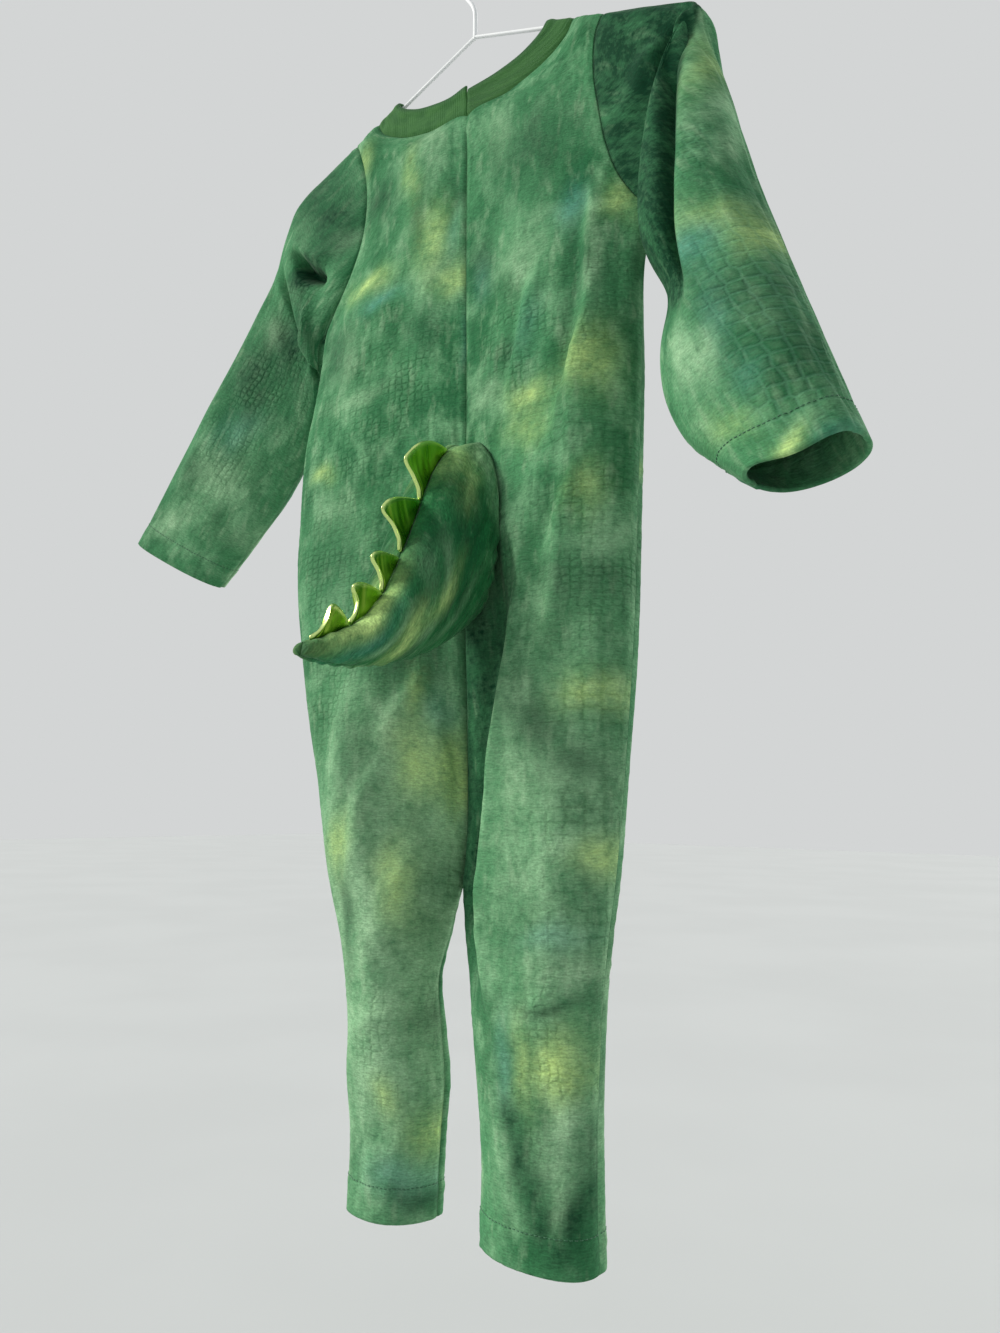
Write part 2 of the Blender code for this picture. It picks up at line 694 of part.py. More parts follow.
def make_neckband(panels):
    chain = neck_chain()
    low = np.array([panels.grid[key][UNDERARM_ROW + step, 0] for key, step in chain])
    high = []
    for (side, face), step in chain:
        high.append(neckline(side, face, step, BAND_HALF, BAND_BACK_Z, BAND_FRONT_Z))
    high = np.array(high)
    rows = np.linspace(0, 1, 4)[:, None, None]
    grid = low[None] * (1 - rows) + high[None] * rows
    centre = np.array([CENTRE["x"][0], 0, -0.17])
    normal = grid_normals(grid, unit(grid - centre))
    for k, (key, step) in enumerate(chain):
        row = UNDERARM_ROW + step
        shared = panels.normal[key][row, 0]
        if NAPE_STEP < step < ARMHOLE_ROWS:
            shared = unit(shared + normal[0, k])
            panels.normal[key][row, 0] = shared
        elif step == NAPE_STEP:
            shared = unit(shared)
        normal[0, k] = shared
    for k in (0, -1):
        normal[1:, k] = unit(normal[1:, k] * np.array([0.1, 1, 1]))
    for k, (key, step) in enumerate(chain):
        if step == ARMHOLE_ROWS:
            normal[:, k] = panels.normal[key][-1, 0]
    up = grid[1] - grid[0]
    up -= np.sum(up * normal[0], axis=-1, keepdims=True) * normal[0]
    grid[0] += SEAM_GAP / 2 * unit(up)
    spread = np.array([SEAM_GAP / 2, SEAM_GAP / 2, BAND_NOTCH / 2, BAND_NOTCH])
    grid[:, 0, 0] += spread
    grid[:, -1, 0] -= spread
    thickness = np.full(grid.shape[:2], BAND_WALL)
    thickness[0] = WALL
    wall("neckband", grid, normal, thickness, "band")


def make_zip(panels):
    """The closed zip's tape, made from the points of the two back panels beside their seam, moved in."""
    first = int(np.argmin(abs(LEVELS - (TAIL_TOP + 0.004))))
    rows = np.arange(first, UNDERARM_ROW + NAPE_STEP)
    left, right = (LEFT, BACK), (RIGHT, BACK)
    sides = [(left, 1), (left, 0), (right, 1)]
    grid = np.stack([panels.grid[key][rows, col] for key, col in sides], axis=1)
    normal = np.stack([panels.normal[key][rows, col] for key, col in sides], axis=1)
    tape = 0.001
    inward = WALL / 2 + SEAM_GAP + tape / 2
    wall("zip", grid - normal * inward, normal, np.full(grid.shape[:2], tape), "zip")


def back_surface(panels, x, z):
    """How far back the outside of the back panels is behind a point of the back."""
    found = -1.0
    for key in ((LEFT, BACK), (RIGHT, BACK)):
        spread = panels.spread[key][..., None]
        outer = panels.grid[key] + panels.normal[key] * WALL / 2 * spread
        a, b, c, d = outer[:-1, :-1], outer[:-1, 1:], outer[1:, 1:], outer[1:, :-1]
        for corner in ((a, b, c), (a, c, d), (a, b, d), (b, c, d)):
            p, q, r = (part.reshape(-1, 3) for part in corner)
            area = (q[:, 0] - p[:, 0]) * (r[:, 2] - p[:, 2]) - (r[:, 0] - p[:, 0]) * (q[:, 2] - p[:, 2])
            area = np.where(abs(area) < 1e-12, 1e-12, area)
            u = ((x - p[:, 0]) * (r[:, 2] - p[:, 2]) - (r[:, 0] - p[:, 0]) * (z - p[:, 2])) / area
            v = ((q[:, 0] - p[:, 0]) * (z - p[:, 2]) - (x - p[:, 0]) * (q[:, 2] - p[:, 2])) / area
            inside = (u >= -1e-6) & (v >= -1e-6) & (u + v <= 1 + 1e-6)
            if inside.any():
                y = (p[:, 1] + u * (q[:, 1] - p[:, 1]) + v * (r[:, 1] - p[:, 1]))[inside]
                found = max(found, float(y.max()))
    return found


def tail_centre(z):
    return float(column(CENTRE, "x", max(z, TAIL_FOOT)))


def tail_rings(count=14):
    marks = np.linspace(0, 1, len(TAIL["half"]))
    at = np.linspace(0, 1, count)
    got = {name: smooth_curve(at, marks, TAIL[name]) for name in TAIL}
    ridge = np.stack([np.zeros(count), got["ridge_y"], got["ridge_z"]], axis=-1)
    belly = np.stack([np.zeros(count), got["belly_y"], got["belly_z"]], axis=-1)
    lean = np.linspace(tail_centre(TAIL_TOP), TAIL_TIP_X, count)
    ridge[:, 0] = lean
    belly[:, 0] = lean
    return ridge, belly, got["half"]


def make_tail(panels, side):
    """One stuffed half: an arc from the ridge to the belly in each ring, closed down the middle."""
    ridge, belly, half = tail_rings()
    middle, arm = (ridge + belly) / 2, (ridge - belly) / 2
    turn = np.linspace(0, np.pi, TAIL_SIDES + 1)
    out = np.array([side, 0.0, 0.0])
    rings = []
    for k in range(len(half)):
        ring = [
            middle[k] + arm[k] * math.cos(t) + out * (half[k] * math.sin(t) ** TAIL_SQUARE + SEAM_GAP / 2)
            for t in turn
        ]
        rings.append(ring)
    rings = np.array(rings)
    seat = []
    hub = rings[0].mean(axis=0) * np.array([0, 1, 1]) + np.array([middle[0][0] + side * SEAM_GAP / 2, 0, 0])
    for share in SEAT_SHARES:
        seat.append(hub + (rings[0] - hub) * share)
    rings = np.concatenate([np.array(seat), rings[1:]])
    for number, ring in enumerate(rings):
        for point in ring:
            behind = back_surface(panels, point[0], point[2]) + TAIL_SEAT
            point[1] = behind if number < len(seat) else max(point[1], behind)
    count, sides = rings.shape[:2]
    hub_number = count * sides
    seat_last = len(seat)
    faces = [(0, sides - 1, hub_number)]
    for r in range(count - 1):
        top, low = r * sides, (r + 1) * sides - 1
        for a in range(top, low):
            faces.append((a, a + 1, a + 1 + sides, a + sides))
        if r < seat_last:
            faces += [(top, top + sides, hub_number), (low, low + sides, hub_number)]
        elif r == seat_last:
            faces.append((top, top + sides, low + sides, low, hub_number))
        else:
            faces.append((top, top + sides, low + sides, low))
    faces.append(tuple(range(sides)))
    faces.append(tuple((count - 1) * sides + c for c in range(sides)))
    core = (rings[seat_last, 0] + rings[seat_last, -1]) / 2
    name = "tail_left" if side == LEFT else "tail_right"
    return new_object(name, np.concatenate([rings.reshape(-1, 3), [core]]), faces, material_of("cloth"))


def make_spikes():
    ridge, belly, _ = tail_rings()
    run = np.concatenate([[0], np.cumsum(np.linalg.norm(np.diff(ridge, axis=0), axis=1))])
    out = unit(ridge - belly)

    def on_ridge(at):
        place = np.array([np.interp(at, run, ridge[:, k]) for k in range(3)])
        way = unit(np.array([np.interp(at, run, out[:, k]) for k in range(3)]))
        ahead = np.array([np.interp(at + RIDGE_STEP, run, ridge[:, k]) for k in range(3)])
        along = unit(ahead - place)
        return place, unit(way - np.dot(way, along) * along)

    for number in range(len(SPIKES["start"])):
        start, peak, end, reach = (float(SPIKES[name][number]) for name in ("start", "peak", "end", "reach"))
        foot, crest = [], []
        for u in SPIKE_STEPS:
            place, square = on_ridge(start + (end - start) * u)
            foot.append(place + square * SPIKE_SEAT)
            if u <= SPIKE_PEAK:
                at = start + (peak - start) * u / SPIKE_PEAK
                height = reach * math.sin(math.pi / 2 * u / SPIKE_PEAK) ** SPIKE_ROUND
            else:
                fall = (u - SPIKE_PEAK) / (1 - SPIKE_PEAK)
                at = peak + (end - peak) * fall
                height = reach * (1 - fall) ** SPIKE_HOLLOW
            place, square = on_ridge(at)
            crest.append(place + square * (SPIKE_SEAT + SPIKE_RIM + height))
        foot, crest = np.array(foot), np.array(crest)
        rows = np.array([foot, foot * 0.5 + crest * 0.5, crest])
        normal = np.broadcast_to(np.array([1.0, 0, 0]), rows.shape)
        swell = np.array(SPIKE_SWELL_UP)[:, None] * np.array(SPIKE_SWELL_ALONG)
        wall(f"spike_{number + 1}", rows, normal, SPIKE_WALL * swell, "lame")


def wire_object(name, points, cyclic, radius=WIRE):
    curve = bpy.data.curves.new(name, "CURVE")
    curve.dimensions = "3D"
    curve.bevel_depth = radius
    curve.bevel_resolution = 2
    curve.use_fill_caps = True
    spline = curve.splines.new("POLY")
    spline.points.add(len(points) - 1)
    for point, place in zip(spline.points, points):
        point.co = (*place, 1)
    spline.use_cyclic_u = cyclic
    guide = bpy.data.objects.new(name + "_curve", curve)
    costume_collection().objects.link(guide)
    graph = bpy.context.evaluated_depsgraph_get()
    mesh = bpy.data.meshes.new_from_object(guide.evaluated_get(graph))
    shape = bmesh.new()
    shape.from_mesh(mesh)
    bmesh.ops.remove_doubles(shape, verts=shape.verts, dist=0.00005)
    bmesh.ops.recalc_face_normals(shape, faces=shape.faces)
    shape.to_mesh(mesh)
    shape.free()
    mesh.name = name
    mesh.shade_smooth()
    piece = bpy.data.objects.new(name, mesh)
    costume_collection().objects.link(piece)
    bpy.data.objects.remove(guide)
    bpy.data.curves.remove(curve)
    return piece


def rounded(corner, before, after, radius, steps=5):
    """An arc-like bend at a corner, from one straight run to the next."""
    corner, before, after = np.array(corner), np.array(before), np.array(after)
    back, on = unit(before - corner) * radius, unit(after - corner) * radius
    bend = []
    for t in np.linspace(0, 1, steps):
        bend.append(corner + back * (1 - t) ** 2 + on * t**2)
    return bend


def make_hanger():
    top = np.array([0, 0, CORNER_Z])
    loop = []
    corners = [
        (np.array([ARM_REACH, 0, CORNER_Z - ARM_DROP]), 1),
        (np.array([-ARM_REACH, 0, CORNER_Z - ARM_DROP]), -1),
    ]
    bar_z = CORNER_Z - ARM_DROP - BAR_DROP
    loop.append(top)
    for end, side in corners:
        low = np.array([end[0] - side * BAR_INSET, 0, bar_z])
        other = np.array([-low[0], 0, bar_z])
        arm = [top, end, low, other] if side > 0 else [other, low, end, top]
        loop += rounded(arm[1], arm[0], arm[2], ARM_BEND)
        loop += rounded(arm[2], arm[1], arm[3], ARM_BEND)
    triangle = wire_object("hanger", loop, True)
    centre = np.array([0, 0, STEM_WIRE - HOOK_RADIUS])
    sweep = np.linspace(HOOK_START, math.pi + HOOK_TAIL, 15)
    hook = [centre + HOOK_RADIUS * np.array([math.cos(t), 0, math.sin(t)]) for t in sweep]
    stem_top = np.array([0, 0, STEM_TOP])
    stem = [np.array([0, 0, CORNER_Z - STEM_FOOT]), np.array([0, 0, STEM_TOP - STEM_STRAIGHT])]
    lead = rounded(stem_top, stem[1], hook[0], NECK_BEND, 4)
    rod = wire_object("stem", stem + lead + hook, False, STEM_WIRE)
    join = triangle.modifiers.new("stem", "BOOLEAN")
    join.operation = "UNION"
    join.solver = "EXACT"
    join.object = rod
    rod.hide_render = True
    rod.display_type = "WIRE"
    triangle.data.materials.append(material_of("wire"))


def clear_scene():
    for thing in list(bpy.data.objects):
        bpy.data.objects.remove(thing, do_unlink=True)


def build():
    clear_scene()
    panels = Panels()
    for side in (LEFT, RIGHT):
        make_sleeve(panels, side)
    make_neckband(panels)
    make_panels(panels)
    make_zip(panels)
    for side in (LEFT, RIGHT):
        make_tail(panels, side)
    make_spikes()
    make_hanger()


build()
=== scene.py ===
"""Looks of the dinosaur costume: a thin shell on each cut piece, the stuffed tail, its foil spikes
and the hanger."""

import math

import bpy
import numpy as np
from mathutils import Matrix, Vector


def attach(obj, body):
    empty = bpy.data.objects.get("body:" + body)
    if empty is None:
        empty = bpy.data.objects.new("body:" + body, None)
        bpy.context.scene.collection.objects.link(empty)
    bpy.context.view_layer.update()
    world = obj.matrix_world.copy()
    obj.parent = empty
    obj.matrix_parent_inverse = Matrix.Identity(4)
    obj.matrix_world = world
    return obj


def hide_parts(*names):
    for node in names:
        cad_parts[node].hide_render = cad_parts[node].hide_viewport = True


# How fine the grid of a panel is: across it, beside the armhole, on the leg and on the body
COLUMNS = 13
ARMHOLE_ROWS = 9
LEG_ROWS = 6
BODY_ROWS = 13

# Hanger
WIRE = 0.0016
STEM_WIRE = 0.0019
STEM_FOOT = 0.0006
CORNER_Z = -0.085
ARM_REACH = 0.200
ARM_DROP = 0.0756
BAR_DROP = 0.014
ARM_BEND = 0.007
HOOK_RADIUS = 0.0216
HOOK_TAIL = math.radians(28)
STEM_TOP = -0.058
STEM_STRAIGHT = 0.010
BAR_INSET = 0.006
HOOK_START = math.radians(-25)
NECK_BEND = 0.009
CLOTH_ON_WIRE = 0.0038
ROUND_WIRE_OUT = 0.0044
ROUND_WIRE_DOWN = 0.0022

# Levels down the costume
UNDERARM_Z = -0.303
CROTCH_Z = -0.785
HEM_Z = -1.024
HEM_DEPTH = 0.024
CROTCH_BELOW = (0.036, 0.018)
CROTCH_ABOVE = (0.016, 0.046)
TAIL_TOP = -0.446
TAIL_FOOT = -0.585

LEFT, RIGHT = 1, -1
BACK, FRONT = 1, -1


def table(columns, rows):
    """A dictionary of columns from rows of numbers."""
    return dict(zip(columns.split(), np.array(rows, float).T))


# The centre seams, from the nape down to the crotch
CENTRE = table(
    "z x back front",
    [
        (-0.160, 0.002, 0.0060, -0.0060),
        (-0.215, 0.000, 0.0080, -0.0085),
        (-0.303, -0.004, 0.0115, -0.0120),
        (-0.450, -0.010, 0.0150, -0.0160),
        (-0.560, -0.008, 0.0120, -0.0190),
        (-0.620, -0.003, 0.0020, -0.0210),
        (-0.680, 0.003, -0.0090, -0.0230),
        (-0.740, 0.008, -0.0170, -0.0240),
        (-0.785, 0.012, -0.0200, -0.0200),
    ],
)

# The inseams, from the crotch down to the hem
INSEAM = {
    LEFT: table(
        "z x y",
        [
            (-0.785, 0.012, -0.020),
            (-0.820, 0.021, -0.018),
            (-0.850, 0.029, -0.014),
            (-0.875, 0.030, -0.012),
            (-0.910, 0.016, -0.008),
            (-0.955, 0.018, -0.006),
            (-1.024, 0.021, -0.006),
        ],
    ),
    RIGHT: table(
        "z x y",
        [
            (-0.785, 0.012, -0.020),
            (-0.820, 0.005, -0.020),
            (-0.850, -0.003, -0.019),
            (-0.875, -0.012, -0.014),
            (-0.910, -0.019, -0.006),
            (-0.955, -0.027, -0.002),
            (-1.024, -0.029, 0.000),
        ],
    ),
}

# The side seams, and how far and where across the cloth stands out between the seams
SIDES = {
    LEFT: table(
        "z x y across back front",
        [
            (-0.303, 0.167, 0.000, 0.55, 0.019, -0.016),
            (-0.370, 0.173, 0.000, 0.55, 0.023, -0.018),
            (-0.445, 0.180, 0.000, 0.58, 0.026, -0.020),
            (-0.517, 0.180, 0.000, 0.60, 0.030, -0.022),
            (-0.597, 0.167, 0.000, 0.60, 0.034, -0.024),
            (-0.690, 0.145, 0.000, 0.58, 0.037, -0.028),
            (-0.771, 0.121, 0.002, 0.52, 0.037, -0.031),
            (-0.820, 0.107, 0.004, 0.50, 0.035, -0.030),
            (-0.875, 0.095, 0.004, 0.50, 0.033, -0.029),
            (-0.955, 0.090, 0.005, 0.50, 0.031, -0.029),
            (-1.024, 0.088, 0.006, 0.50, 0.031, -0.029),
        ],
    ),
    RIGHT: table(
        "z x y across back front",
        [
            (-0.303, -0.166, 0.000, 0.50, 0.019, -0.016),
            (-0.350, -0.158, 0.000, 0.50, 0.022, -0.018),
            (-0.445, -0.155, 0.000, 0.50, 0.026, -0.020),
            (-0.517, -0.152, 0.000, 0.48, 0.030, -0.022),
            (-0.597, -0.149, 0.000, 0.46, 0.033, -0.024),
            (-0.690, -0.142, 0.000, 0.45, 0.034, -0.028),
            (-0.771, -0.134, 0.000, 0.46, 0.033, -0.030),
            (-0.820, -0.127, 0.000, 0.48, 0.032, -0.028),
            (-0.875, -0.122, 0.000, 0.50, 0.029, -0.027),
            (-0.955, -0.119, 0.000, 0.50, 0.027, -0.026),
            (-1.024, -0.120, 0.000, 0.50, 0.026, -0.025),
        ],
    ),
}

# The armhole seams, from the underarm up to the shoulder point
ARMHOLES = {
    LEFT: table(
        "x z",
        [
            (0.167, -0.303),
            (0.143, -0.275),
            (0.120, -0.247),
            (0.111, -0.212),
            (0.113, -0.180),
            (0.121, -0.153),
            (0.131, -0.131),
        ],
    ),
    RIGHT: table(
        "x z",
        [
            (-0.166, -0.303),
            (-0.151, -0.286),
            (-0.137, -0.258),
            (-0.128, -0.220),
            (-0.122, -0.183),
            (-0.121, -0.155),
            (-0.127, -0.130),
        ],
    ),
}
ARMHOLE_DEPTH = 0.011
ARMHOLE_CLOSES = 0.75
HOLE_OPENS = 1.15
HOLE_OPEN_AT = 0.45
HOLE_STEPS_LEFT = 1.4
CHEST_DEPTH = 0.017
SHOULDER_THINS = 0.008

# The side seam is round below, and softens to this share over this height under the arm
UNDERARM_ROUND = 0.4
SIDE_FADE = 0.11

# Below the crotch the inner edge of a leg turns as round as its outer edge, over this height
LEG_STARTS = 0.03
LEG_FADE = 0.09
SIDE_CURVE = 2.6

# The neckline under the band, and the band's free edge
NECK_HALF = 0.103
BAND_HALF = 0.079
NECK_BACK_Z = -0.160
NECK_FRONT_Z = -0.216
BAND_BACK_Z = -0.137
BAND_FRONT_Z = -0.193
BAND_NOTCH = 0.0012
NECK_LEAST = 0.0056
NECK_STEPS_LEFT = 1.3

# Sleeves: the upper and the underarm edge of each ring, and how far its back and front stand out
SLEEVE_COLUMNS = "over_x over_y over_z under_x under_y under_z back front"
SLEEVES = {
    LEFT: table(
        SLEEVE_COLUMNS,
        [
            (0.152, 0.000, -0.1380, 0.175, -0.001, -0.306, 0.013, 0.013),
            (0.174, 0.000, -0.1463, 0.180, -0.003, -0.310, 0.013, 0.014),
            (0.193, 0.000, -0.1535, 0.182, -0.004, -0.315, 0.013, 0.014),
            (0.209, 0.000, -0.1640, 0.183, -0.005, -0.321, 0.014, 0.015),
            (0.226, 0.000, -0.1930, 0.184, -0.006, -0.328, 0.012, 0.016),
            (0.234, -0.002, -0.2070, 0.186, -0.011, -0.336, -0.009, 0.016),
            (0.243, -0.004, -0.2190, 0.190, -0.017, -0.348, 0.005, 0.015),
            (0.265, -0.005, -0.2460, 0.203, -0.026, -0.378, 0.013, 0.014),
            (0.312, -0.004, -0.3040, 0.238, -0.030, -0.427, 0.018, 0.014),
            (0.375, -0.002, -0.3820, 0.290, -0.031, -0.471, 0.020, 0.015),
            (0.436, 0.000, -0.4580, 0.340, -0.030, -0.511, 0.019, 0.015),
        ],
    ),
    RIGHT: table(
        SLEEVE_COLUMNS,
        [
            (-0.148, 0.000, -0.1365, -0.174, -0.001, -0.307, 0.013, 0.013),
            (-0.168, 0.000, -0.1440, -0.178, -0.003, -0.315, 0.013, 0.014),
            (-0.185, 0.000, -0.1505, -0.180, -0.006, -0.332, 0.004, 0.016),
            (-0.197, 0.000, -0.1552, -0.183, -0.008, -0.356, -0.010, 0.018),
            (-0.204, 0.001, -0.1620, -0.188, -0.004, -0.382, 0.030, 0.018),
            (-0.211, 0.003, -0.1950, -0.191, 0.008, -0.410, 0.040, 0.020),
            (-0.227, 0.008, -0.2500, -0.193, 0.018, -0.442, 0.040, 0.023),
            (-0.249, 0.017, -0.3220, -0.198, 0.026, -0.474, 0.038, 0.026),
            (-0.278, 0.030, -0.4020, -0.214, 0.034, -0.502, 0.036, 0.030),
            (-0.302, 0.042, -0.4700, -0.235, 0.038, -0.520, 0.034, 0.033),
            (-0.321, 0.052, -0.5200, -0.252, 0.040, -0.533, 0.034, 0.034),
        ],
    ),
}

# A sleeve's trough ends here, where the cloth is held up by the hanger's arm
TROUGH_END = 0.012
TROUGH_FADE = (1.7, 2.5)
SLEEVE_SQUARE = 0.8

# The tail's side view: its ridge, its belly and its half width, from the root to the tip
TAIL = table(
    "ridge_y ridge_z belly_y belly_z half",
    [
        (0.022, -0.447, 0.016, -0.586, 0.044),
        (0.040, -0.463, 0.030, -0.600, 0.045),
        (0.053, -0.482, 0.048, -0.613, 0.043),
        (0.065, -0.512, 0.066, -0.622, 0.039),
        (0.080, -0.547, 0.086, -0.629, 0.034),
        (0.099, -0.583, 0.108, -0.634, 0.027),
        (0.122, -0.605, 0.130, -0.636, 0.020),
        (0.145, -0.616, 0.149, -0.636, 0.014),
        (0.163, -0.624, 0.165, -0.633, 0.008),
    ],
)
TAIL_SIDES = 8
TAIL_SQUARE = 0.85
TAIL_TIP_X = 0.001

# The spikes: where each starts, peaks and ends along the ridge, and how far its peak stands out
SPIKES = table(
    "start peak end reach",
    [
        (0.020, 0.056, 0.072, 0.025),
        (0.0735, 0.101, 0.118, 0.028),
        (0.124, 0.140, 0.154, 0.020),
        (0.156, 0.174, 0.193, 0.019),
        (0.195, 0.206, 0.229, 0.015),
    ],
)
SPIKE_STEPS = (0, 0.15, 0.35, 0.55, 0.7, 0.8, 0.9, 1)
SPIKE_PEAK = 0.7
SPIKE_ROUND = 0.85
SPIKE_HOLLOW = 1.8
SPIKE_RIM = 0.0014
RIDGE_STEP = 0.002
SPIKE_SEAT = 0.0005

# The largest folds: which panel, the line of the crest, half its width and its height
FOLDS = [
    ("back_right", (-0.118, -0.330), (-0.086, -0.640), 0.020, 0.0050),
    ("back_right", (-0.068, -0.280), (-0.040, -0.440), 0.018, 0.0035),
    ("back_right", (-0.100, -0.660), (-0.085, -0.860), 0.022, 0.0030),
    ("back_left", (0.125, -0.300), (0.060, -0.360), 0.016, 0.0040),
    ("back_left", (0.060, -0.620), (0.115, -0.800), 0.018, 0.0045),
    ("back_left", (0.095, -0.590), (0.135, -0.700), 0.016, -0.0035),
    ("back_left", (0.040, -0.880), (0.090, -0.930), 0.016, 0.0040),
    ("back_left", (0.045, -0.960), (0.085, -0.985), 0.014, -0.0030),
    ("back_right", (-0.045, -0.880), (-0.100, -0.860), 0.016, 0.0030),
    ("front_left", (0.120, -0.320), (0.085, -0.600), 0.020, 0.0045),
    ("front_left", (0.050, -0.640), (0.100, -0.820), 0.018, 0.0040),
    ("front_right", (-0.110, -0.330), (-0.070, -0.620), 0.020, 0.0045),
    ("front_right", (-0.040, -0.650), (-0.095, -0.840), 0.018, 0.0035),
]

def smooth_curve(at, knots, values):
    """A curve through the knots that never overshoots them: a monotone cubic."""
    at = np.asarray(at, float)
    order = np.argsort(knots)
    knots, values = knots[order], values[order]
    step = np.diff(knots)
    slope = np.diff(values) / step
    tangent = np.zeros(len(knots))
    same = slope[:-1] * slope[1:] > 0
    mean = np.where(same, 2 * slope[:-1] * slope[1:] / np.where(same, slope[:-1] + slope[1:], 1), 0)
    tangent[1:-1] = mean
    tangent[0], tangent[-1] = slope[0], slope[-1]
    place = np.clip(np.searchsorted(knots, at) - 1, 0, len(step) - 1)
    u = np.clip((at - knots[place]) / step[place], 0, 1)
    hermite = (
        (2 * u**3 - 3 * u**2 + 1) * values[place]
        + (u**3 - 2 * u**2 + u) * step[place] * tangent[place]
        + (3 * u**2 - 2 * u**3) * values[place + 1]
        + (u**3 - u**2) * step[place] * tangent[place + 1]
    )
    return hermite


def column(source, name, at):
    return smooth_curve(at, source["z"], source[name])


def curves(source, count):
    """Each column of a table as a smooth curve, at this many places from its first row to its last."""
    at = np.linspace(0, 1, count)
    marks = {name: np.linspace(0, 1, len(values)) for name, values in source.items()}
    return {name: smooth_curve(at, marks[name], values) for name, values in source.items()}


def smooth(share):
    share = np.clip(share, 0, 1)
    return share * share * (3 - 2 * share)


def bell(away, half):
    return np.exp(-((away / half) ** 2))


def unit(vectors):
    return vectors / np.maximum(np.linalg.norm(vectors, axis=-1, keepdims=True), 1e-12)


def run_of(points, axis):
    """The length along the rows or the columns of a grid, from its first point."""
    step = np.linalg.norm(np.diff(points, axis=axis), axis=-1)
    start = np.zeros_like(step.take([0], axis=axis))
    return np.concatenate([start, np.cumsum(step, axis=axis)], axis=axis)


def at_run(points, run, at):
    """The points of a line at these lengths along it."""
    return np.stack([np.interp(at, run, points[:, k]) for k in range(3)], axis=-1)


def evenly(points, fractions):
    """The points at these fractions of a polyline's length."""
    run = run_of(points, 0)
    return at_run(points, run, np.asarray(fractions) * run[-1])


def wire_top(x):
    """The height of the cloth's middle where it lies over the hanger's arm."""
    return CORNER_Z - ARM_DROP / ARM_REACH * abs(x) + CLOTH_ON_WIRE


def levels():
    """The heights of the rows from the hem to the underarm, closer at the hem and the crotch."""
    legs = np.linspace(HEM_Z + HEM_DEPTH, CROTCH_Z - CROTCH_BELOW[0], LEG_ROWS)
    crotch = [CROTCH_Z - CROTCH_BELOW[1], CROTCH_Z, CROTCH_Z + CROTCH_ABOVE[0]]
    body = np.linspace(CROTCH_Z + CROTCH_ABOVE[1], UNDERARM_Z, BODY_ROWS)
    return np.concatenate([[HEM_Z], legs, crotch, body])


LEVELS = levels()
CROTCH_ROW = int(np.argmin(abs(LEVELS - CROTCH_Z)))
UNDERARM_ROW = len(LEVELS) - 1
NAPE_STEP = 4


def across_fractions():
    even = np.linspace(0, 1, COLUMNS)
    return 0.6 * even + 0.4 * (1 - np.cos(np.pi * even)) / 2


def profile(inner, outer, crest_at, crest, round_in, round_out):
    """A row of cloth between two seams: it rises to the crest and falls, rounded or soft at each end."""
    p = (1 - np.cos(np.linspace(0, np.pi, 121))) / 2
    rise = np.clip(p / crest_at, 0, 1)
    fall = np.clip((p - crest_at) / (1 - crest_at), 0, 1)
    soft_rise = np.sin(np.pi / 2 * rise) ** 2 * 0.5 + np.sin(np.pi / 2 * rise) * 0.5
    up = round_in * np.sqrt(1 - (1 - rise) ** 2) + (1 - round_in) * soft_rise
    full = (1 - fall**SIDE_CURVE) ** (1 / SIDE_CURVE)
    down = round_out * full + (1 - round_out) * np.cos(np.pi / 2 * fall) ** 2
    y = np.where(p < crest_at, inner[1] + (crest - inner[1]) * up, outer[1] + (crest - outer[1]) * down)
    x = inner[0] + (outer[0] - inner[0]) * p
    z = inner[2] + (outer[2] - inner[2]) * p
    return evenly(np.stack([x, y, z], axis=-1), across_fractions())


def beside_wire(point, face):
    """The cloth's next point where it bends down from the hanger's arm."""
    return point + np.array([0, face * ROUND_WIRE_OUT, -ROUND_WIRE_DOWN])


def neckline(side, face, step, half=NECK_HALF, back=NECK_BACK_Z, front=NECK_FRONT_Z):
    """A point of the neckline, from the centre up to the shoulder seam over the hanger's arm."""
    centre = back if face == BACK else front
    end = np.array([CENTRE["x"][0] + side * half, 0.0, 0.0])
    end[2] = wire_top(end[0])
    if step == ARMHOLE_ROWS:
        return end
    if step == ARMHOLE_ROWS - 1:
        return beside_wire(end, face)
    turn = math.pi / 2 * (step - NAPE_STEP) / (ARMHOLE_ROWS - NECK_STEPS_LEFT - NAPE_STEP)
    x = CENTRE["x"][0] + side * half * math.sin(turn)
    z = centre + (end[2] - centre) * (1 - math.cos(turn))
    depth = float(column(CENTRE, "back" if face == BACK else "front", min(z, NECK_BACK_Z)))
    return np.array([x, face * max(abs(depth) * math.cos(turn) ** 0.5, NECK_LEAST), z])


